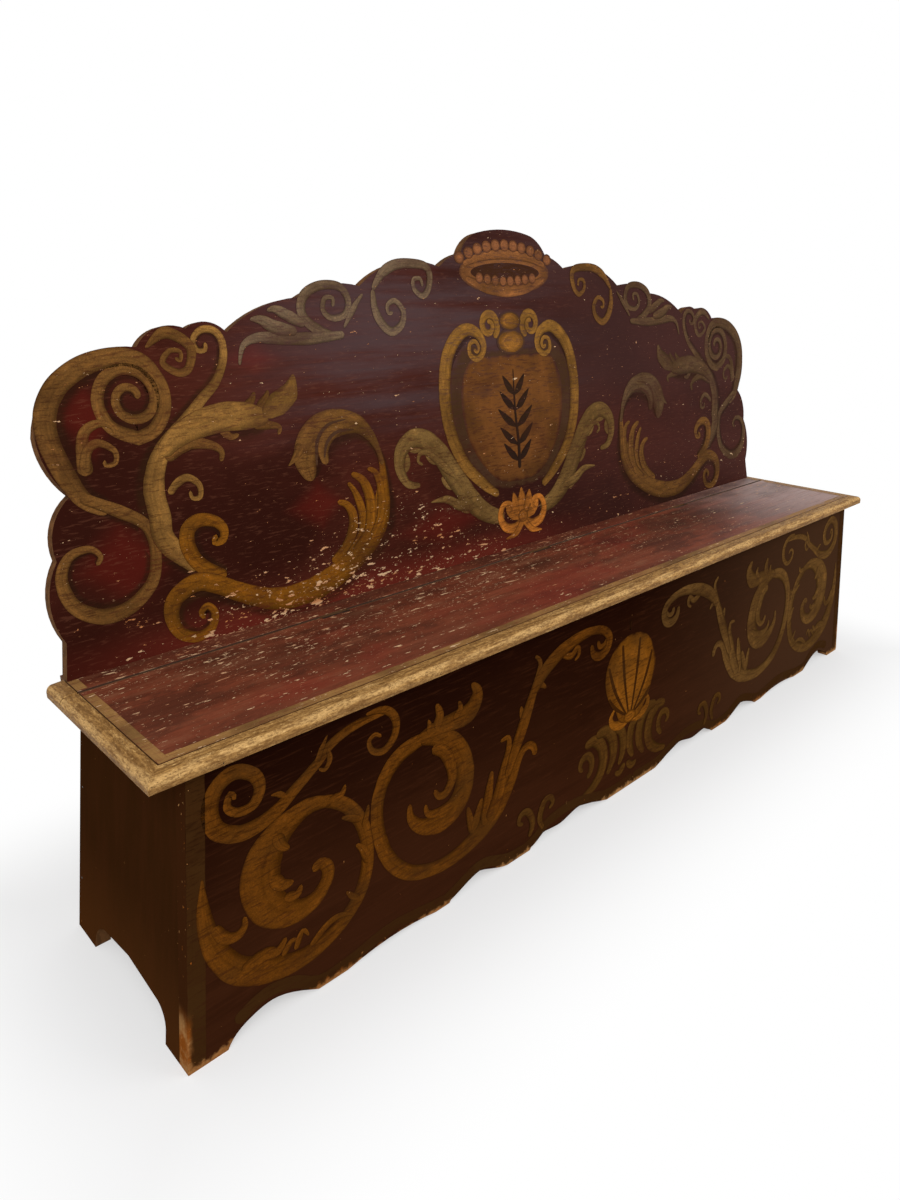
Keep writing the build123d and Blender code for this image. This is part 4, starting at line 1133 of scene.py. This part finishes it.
second_leaves = [
    ([(-572, 318), (-546, 302), (-532, 271), (-531, 244), (-546, 225), (-562, 226), (-571, 241)], 20),
    ([(-502, 216), (-530, 200), (-565, 196), (-588, 205), (-592, 223)], 17),
    ([(-562, 350), (-552, 371), (-558, 394)], 16),
    ([(-580, 350), (-575, 362), (-577, 373)], 9),
    ([(-522, 354), (-506, 366), (-509, 382)], 12),
]
second_crest = [(-604, 346), (-560, 351), (-520, 350), (-490, 351), (-472, 365), (-466, 385), (-478, 403)]
rising_stem = [
    (-398, 190), (-380, 226), (-362, 258), (-342, 296), (-322, 336), (-308, 368), (-305, 388), (-318, 402),
]
rising_leaf = [(-446, 122), (-418, 168), (-404, 210), (-391, 244), (-392, 268), (-412, 268)]
rising_leaves = [
    ([(-486, 116), (-492, 148), (-497, 174)], 15),
    ([(-484, 120), (-472, 150), (-461, 176)], 16),
    ([(-458, 118), (-447, 166), (-435, 219)], 20),
    ([(-412, 172), (-399, 195), (-395, 219)], 13),
    ([(-348, 282), (-354, 300), (-357, 317)], 13),
    ([(-316, 346), (-300, 340), (-288, 330)], 11),
]
arch_scroll = [
    (-322, 330), (-303, 355), (-278, 374), (-245, 389), (-210, 398), (-175, 403), (-140, 401), (-112, 391),
    (-97, 373), (-104, 352), (-126, 343), (-147, 352), (-154, 374),
]
arch_hooks = [
    ([(-134, 377), (-128, 363), (-114, 364), (-104, 377)], 10),
    ([(-242, 380), (-216, 371), (-197, 382), (-193, 367), (-206, 358)], 12),
]
base_scrolls = [
    ([(-168, 157), (-140, 161), (-115, 141), (-106, 108), (-115, 77), (-140, 55), (-178, 43)], 19),
    ([(-160, 84), (-147, 100), (-147, 122), (-160, 136), (-178, 131), (-183, 115), (-173, 107)], 12),
    ([(-132, 168), (-104, 169), (-82, 152), (-72, 122), (-75, 92), (-92, 64)], 19),
    ([(-66, 160), (-46, 148), (-38, 122), (-40, 94), (-52, 70)], 17),
    ([(-30, 66), (-48, 50), (-64, 56)], 12),
]
sprig_middle = -317
front_right_scale = 0.985
apron_sprig = [(-354, 70), (-366, 78), (-360, 92), (-344, 93), (-332, 77), (-328, 56), (-338, 34)]


class PaintFrontScrolls(bpy.types.Operator):
    """Paints the scrollwork on both halves of the front"""

    bl_idname = "bench.paint_front_scrolls"
    bl_label = "Front Scrolls"

    def execute(self, context):
        for side, name in ((-1, "front_scrolls_left"), (1, "front_scrolls_right")):
            work = Brushwork(name, on_front)
            tone = "front_gold" if side < 0 else "front_dull"
            drawn = partial(turned, side=side, scale=front_right_scale)
            work.stroke(tone, (6, 13, 14, 15, 18, 22, 24, 22, 20, 17, 13, 8), drawn(top_volute))
            work.stroke(tone, (5, 12, 14, 13, 11, 8, 5), drawn(top_hook))
            for points in top_thorns:
                work.stroke(tone, (8, 9, 2), drawn(points))
            work.stroke(tone, (6, 9, 7, 4), drawn(top_tendril))
            ring_widths = (3, 18, 27, 34, 40, 38, 30, 25, 23, 23, 22, 22, 22, 20, 14)
            work.stroke(tone, ring_widths, drawn(first_ring))
            work.stroke(tone, (14, 22, 30, 42, 54, 58, 56, 50, 40, 28, 22, 20, 13), drawn(first_crescent))
            for points, width in first_leaves:
                work.stroke(tone, scaled(width, 0.8, 1.05, 0.8, 0.35), drawn(points))
            run_widths = (14, 24, 26, 23, 22, 23, 24, 25, 25, 24, 25, 29, 36, 36, 26, 18, 15, 14)
            work.stroke(tone, run_widths, drawn(second_run))
            work.stroke(tone, (16, 28, 34, 37, 38, 40, 42, 38, 28, 18, 7), drawn(second_ring))
            work.stroke(tone, (12, 22, 26, 31, 34, 26, 7), drawn(second_crest))
            for points, width in second_leaves + rising_leaves + arch_hooks:
                work.stroke(tone, scaled(width, 0.8, 1.1, 1.0, 0.8, 0.4), drawn(points))
            work.stroke(tone, (22, 27, 24, 18, 13, 6), drawn(rising_leaf))
            work.stroke(tone, (14, 20, 25, 26, 22, 17, 12, 6), drawn(rising_stem))
            work.stroke(tone, (14, 24, 27, 26, 24, 20, 16, 16, 18, 19, 17, 9), drawn(arch_scroll))
            twin = [(2 * sprig_middle - x, up) for x, up in apron_sprig]
            for points in (apron_sprig, twin):
                work.stroke("front_olive", (7, 12, 15, 14, 9), drawn(points))
            work.make_piece("base", "front_brushwork")
        return {"FINISHED"}


# Shell in the middle of the front

shell_middle = -18
shell_root = 176
base_middle = -26
shell_wing = [(-22, 170), (-50, 164), (-76, 172), (-84, 190), (-70, 208)]
shell_outline = [
    (-46, 166), (-72, 204), (-97, 240), (-107, 278), (-99, 313), (-80, 338), (-52, 353), (-20, 359),
    (12, 354), (40, 338), (60, 310), (71, 270), (58, 222), (34, 186), (12, 164),
]


class PaintShell(bpy.types.Operator):
    """Paints the shell and its base of scrolls in the middle of the front"""

    bl_idname = "bench.paint_shell"
    bl_label = "Shell"

    def execute(self, context):
        work = Brushwork("shell", on_front)
        for side in (-1, 1):
            for points, width in base_scrolls:
                placed = [(x if side < 0 else 2 * base_middle - x, up) for x, up in points]
                work.stroke("front_olive", scaled(width, 0.9, 1.3, 1.4, 1.35, 1.1, 0.6), placed)
            placed = [(x if side < 0 else 2 * shell_middle - x, up) for x, up in shell_wing]
            work.stroke("shell", (18, 22, 18, 12, 4), placed)
        work.patch("shell", shell_outline, 0.75, (shell_middle, 250))
        for tip in shell_outline[2:-2:2]:
            reach = tip[0] - shell_middle
            root = Vector((shell_middle + reach * 0.12, shell_root))
            bend = (root + Vector(tip)) / 2 + Vector((reach * 0.1, 0))
            edge = root + (Vector(tip) - root) * 0.94
            work.stroke("shell_dark", (4, 6, 8, 6), [root, bend, edge], plain_relief)
        work.patch("shell", oval((shell_middle, 172), 22, 14))
        work.make_piece("base", "front_brushwork")
        return {"FINISHED"}


# Foot of the front, right half: share of the half length, share of the rise in mm

apron_rise = 37
apron_foot = [
    (0.0, 0.0), (0.086, 0.0), (0.131, 0.32), (0.20, 0.75), (0.27, 0.6), (0.321, 0.0), (0.381, 0.0),
    (0.45, 0.6), (0.525, 0.0), (0.556, 0.0), (0.647, 0.32), (0.738, 0.0), (0.791, 0.0),
    (0.831, 0.70), (0.867, 1.0), (0.898, 0.86), (0.925, 0.51),
]


# The gilt line stops this far, in mm, from the lid's rear edge, which swings down past the hinge rail
hinge_clearance = 16


class PaintBorders(bpy.types.Operator):
    """Paints the border round the front and the gilt line round the seat"""

    bl_idname = "bench.paint_borders"
    bl_label = "Borders"

    def execute(self, context):
        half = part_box("front_panel")[1].x / MM
        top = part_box("front_panel")[1].z / MM / cos(FRONT_LEAN)
        width = sizes().border_width / MM
        work = Brushwork("front_border", on_front)
        inset = width * 0.5
        for side in (-1, 1):
            foot = side * (half - inset - 1)
            head = side * (half - END_SLOPE * top - inset - 1)
            work.stroke("border", (width, width), [(foot, 2), (head, top - 2)], plain_relief, square=True)
            low = [(side * share * half, apron_rise * rise + inset + 6) for share, rise in apron_foot]
            work.stroke("border", (width * 0.8, width * 0.8), low, plain_relief)
        work.make_piece("base", "front_brushwork")

        line = sizes().seat_border_width / MM
        gilt = {"tone": "gilt_line", "widths": (line, line), "relief": line_relief, "square": True}
        lid_low, lid_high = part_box("lid_plank")
        front = lid_low.y / MM + line / 2 + 0.5
        rear = lid_high.y / MM
        end = lid_high.x / MM - line / 2 - 0.5
        work = Brushwork("seat_line", on_seat)
        corner = end + line / 2
        work.stroke(points=[(-corner, front), (corner, front)], **gilt)
        for side in (-1, 1):
            work.stroke(points=[(side * end, front), (side * end, rear - hinge_clearance)], **gilt)
        work.make_piece("lid", "seat_brushwork")

        rail_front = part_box("hinge_rail")[0].y / MM
        work = Brushwork("rail_line", on_seat)
        for side in (-1, 1):
            work.stroke(points=[(side * end, rail_front + 5), (side * end, BACK_FOOT_Y / MM - 1)], **gilt)
        work.make_piece("base", "seat_brushwork")
        return {"FINISHED"}


board_finishes = {
    "painted_back_board": ("back_plank_lower", "back_plank_upper"),
    "painted_front_board": ("front_panel",),
    "painted_end_board": ("left_end", "right_end"),
    "painted_seat_board": ("lid_plank", "hinge_rail"),
    "long_worn_gilt": ("lid_moulding_front",),
    "deep_worn_gilt": (
        "lid_moulding_left", "lid_moulding_right", "rail_moulding_left", "rail_moulding_right",
    ),
    "long_bare_board": (
        "rear_panel", "bottom_board_front", "bottom_board_rear", "ledger_front", "ledger_rear",
    ),
    "deep_bare_board": (
        "cleat_left", "cleat_right", "lid_batten_left", "lid_batten_middle", "lid_batten_right",
    ),
    "upright_bare_board": ("back_batten_left", "back_batten_middle", "back_batten_right"),
}


class FinishBoards(bpy.types.Operator):
    """Gives the boards, mouldings and ironwork their finishes"""

    bl_idname = "bench.finish_boards"
    bl_label = "Boards and Iron"

    def execute(self, context):
        chosen = {node: name for name, nodes in board_finishes.items() for node in nodes}
        for node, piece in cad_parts.items():
            piece.data.materials.clear()
            piece.data.materials.append(finish(chosen.get(node, "wrought_iron")))
        return {"FINISHED"}


# The photograph's camera, solved from the bench's straight edges, in metres, radians and mm
camera_place = (-1.3532, -1.0695, 1.0318)
camera_yaw = 0.759619
camera_pitch = -0.372397
camera_roll = 0.0086178
camera_lens = 24.82


def add_lamp(name, place, aim, size, power):
    """A soft square lamp aimed at a point."""
    lamp = bpy.data.lights.new(name, "AREA")
    lamp.shape = "SQUARE"
    lamp.size = size
    lamp.energy = power
    holder = bpy.data.objects.new(name, lamp)
    holder.location = place
    holder.rotation_euler = (Vector(aim) - Vector(place)).to_track_quat("-Z", "Y").to_euler()
    bpy.context.scene.collection.objects.link(holder)


class SetStage(bpy.types.Operator):
    """Sets the pale floor, the soft light and the camera"""

    bl_idname = "bench.set_stage"
    bl_label = "Stage"

    def execute(self, context):
        scene = context.scene
        scene.view_settings.view_transform = "Standard"
        self.add_floor(scene)
        self.light_world(scene)
        add_lamp("key", (-2.6, -2.6, 3.2), (0, -0.1, 0.5), 2.4, 75)
        add_lamp("fill", (2.4, -3.0, 2.4), (0.2, 0, 0.5), 2.4, 40)
        self.add_camera(scene)
        return {"FINISHED"}

    def add_floor(self, scene):
        """A wide white floor that takes the bench's shadow close to the bench."""
        mesh = bmesh.new()
        bmesh.ops.create_grid(mesh, x_segments=1, y_segments=1, size=14)
        data = bpy.data.meshes.new("floor")
        mesh.to_mesh(data)
        mesh.free()
        floor = bpy.data.objects.new("floor", data)
        scene.collection.objects.link(floor)
        material, nodes = new_finish("pale_floor")
        matte = nodes.node("ShaderNodeBsdfDiffuse", None, {"Color": (0.92, 0.92, 0.92, 1)})
        glow = nodes.node("ShaderNodeEmission", None, {"Color": (1, 1, 1, 1), "Strength": 1.0})
        x, y, _ = nodes.split(nodes.point())
        gap = (abs(x) - cad_box[1].x) | (abs(y) - cad_box[1].y)
        share = (0.45 + 0.55 * nodes.step(gap, 0.0, 0.36)) * self.seen(nodes)
        both = nodes.node("ShaderNodeMixShader", None, {0: share, 1: matte, 2: glow})
        nodes.node("ShaderNodeOutputMaterial", None, {"Surface": both})
        data.materials.append(material)

    def seen(self, nodes):
        """1 where the camera looks, straight, by reflection or through glass."""
        path = nodes.node("ShaderNodeLightPath").socket.node.outputs
        camera, glossy, through = (
            Shade(nodes, path[name]) for name in ("Is Camera Ray", "Is Glossy Ray", "Is Transmission Ray")
        )
        return camera | glossy | through

    def light_world(self, scene):
        """Even light from all round, with plain white behind the bench."""
        world = bpy.data.worlds.new("soft_white")
        scene.world = world
        world.use_nodes = True
        nodes = Nodes(world.node_tree)
        light = nodes.node("ShaderNodeBackground", None, {"Color": (1, 1, 1, 1), "Strength": 0.6})
        white = nodes.node("ShaderNodeBackground", None, {"Color": (1, 1, 1, 1), "Strength": 1.0})
        both = nodes.node("ShaderNodeMixShader", None, {0: self.seen(nodes), 1: light, 2: white})
        nodes.node("ShaderNodeOutputWorld", None, {"Surface": both})

    def add_camera(self, scene):
        """A camera that stands where the photographer stood."""
        lens = bpy.data.cameras.new("photographer")
        lens.sensor_fit = "VERTICAL"
        lens.sensor_height = 36
        lens.lens = camera_lens
        lens.clip_start = 0.05
        camera = bpy.data.objects.new("photographer", lens)
        ahead = Vector(
            (
                sin(camera_yaw) * cos(camera_pitch),
                cos(camera_yaw) * cos(camera_pitch),
                sin(camera_pitch),
            )
        )
        right = Vector((cos(camera_yaw), -sin(camera_yaw), 0))
        up = right.cross(ahead)
        right_rolled = right * cos(camera_roll) + up * sin(camera_roll)
        up_rolled = up * cos(camera_roll) - right * sin(camera_roll)
        turn = Matrix((right_rolled, up_rolled, -ahead)).transposed()
        camera.matrix_world = Matrix.Translation(camera_place) @ turn.to_4x4()
        scene.collection.objects.link(camera)
        scene.camera = camera


bench_operators = (
    FinishBoards,
    PaintBackScrolls,
    PaintCartouche,
    PaintCoronet,
    PaintFrontScrolls,
    PaintShell,
    PaintBorders,
    SetStage,
)


class BenchPanel(bpy.types.Panel):
    """Lists the bench's pieces, sizes and colours"""

    bl_idname = "VIEW3D_PT_chest_bench"
    bl_label = "Chest-Bench"
    bl_space_type = "VIEW_3D"
    bl_region_type = "UI"
    bl_category = "Chest-Bench"

    def draw(self, context):
        for operator in bench_operators:
            self.layout.operator(operator.bl_idname)
        for group in (context.scene.bench_sizes, context.scene.bench_colours):
            for name in group.bl_rna.properties.keys():
                if name not in ("rna_type", "name"):
                    self.layout.prop(group, name)


bench_classes = (BenchSizes, BenchColours, *bench_operators, BenchPanel)


def register():
    """Registers the classes and the scene's settings."""
    for bench_class in bench_classes:
        bpy.utils.register_class(bench_class)
    bpy.types.Scene.bench_sizes = PointerProperty(type=BenchSizes)
    bpy.types.Scene.bench_colours = PointerProperty(type=BenchColours)


def unregister():
    """Takes the settings and classes out again."""
    del bpy.types.Scene.bench_colours
    del bpy.types.Scene.bench_sizes
    for bench_class in reversed(bench_classes):
        bpy.utils.unregister_class(bench_class)


def main():
    """Finishes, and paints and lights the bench."""
    register()
    bpy.ops.bench.finish_boards()
    bpy.ops.bench.paint_back_scrolls()
    bpy.ops.bench.paint_cartouche()
    bpy.ops.bench.paint_coronet()
    bpy.ops.bench.paint_front_scrolls()
    bpy.ops.bench.paint_shell()
    bpy.ops.bench.paint_borders()
    bpy.ops.bench.set_stage()


if __name__ == "__main__":
    main()
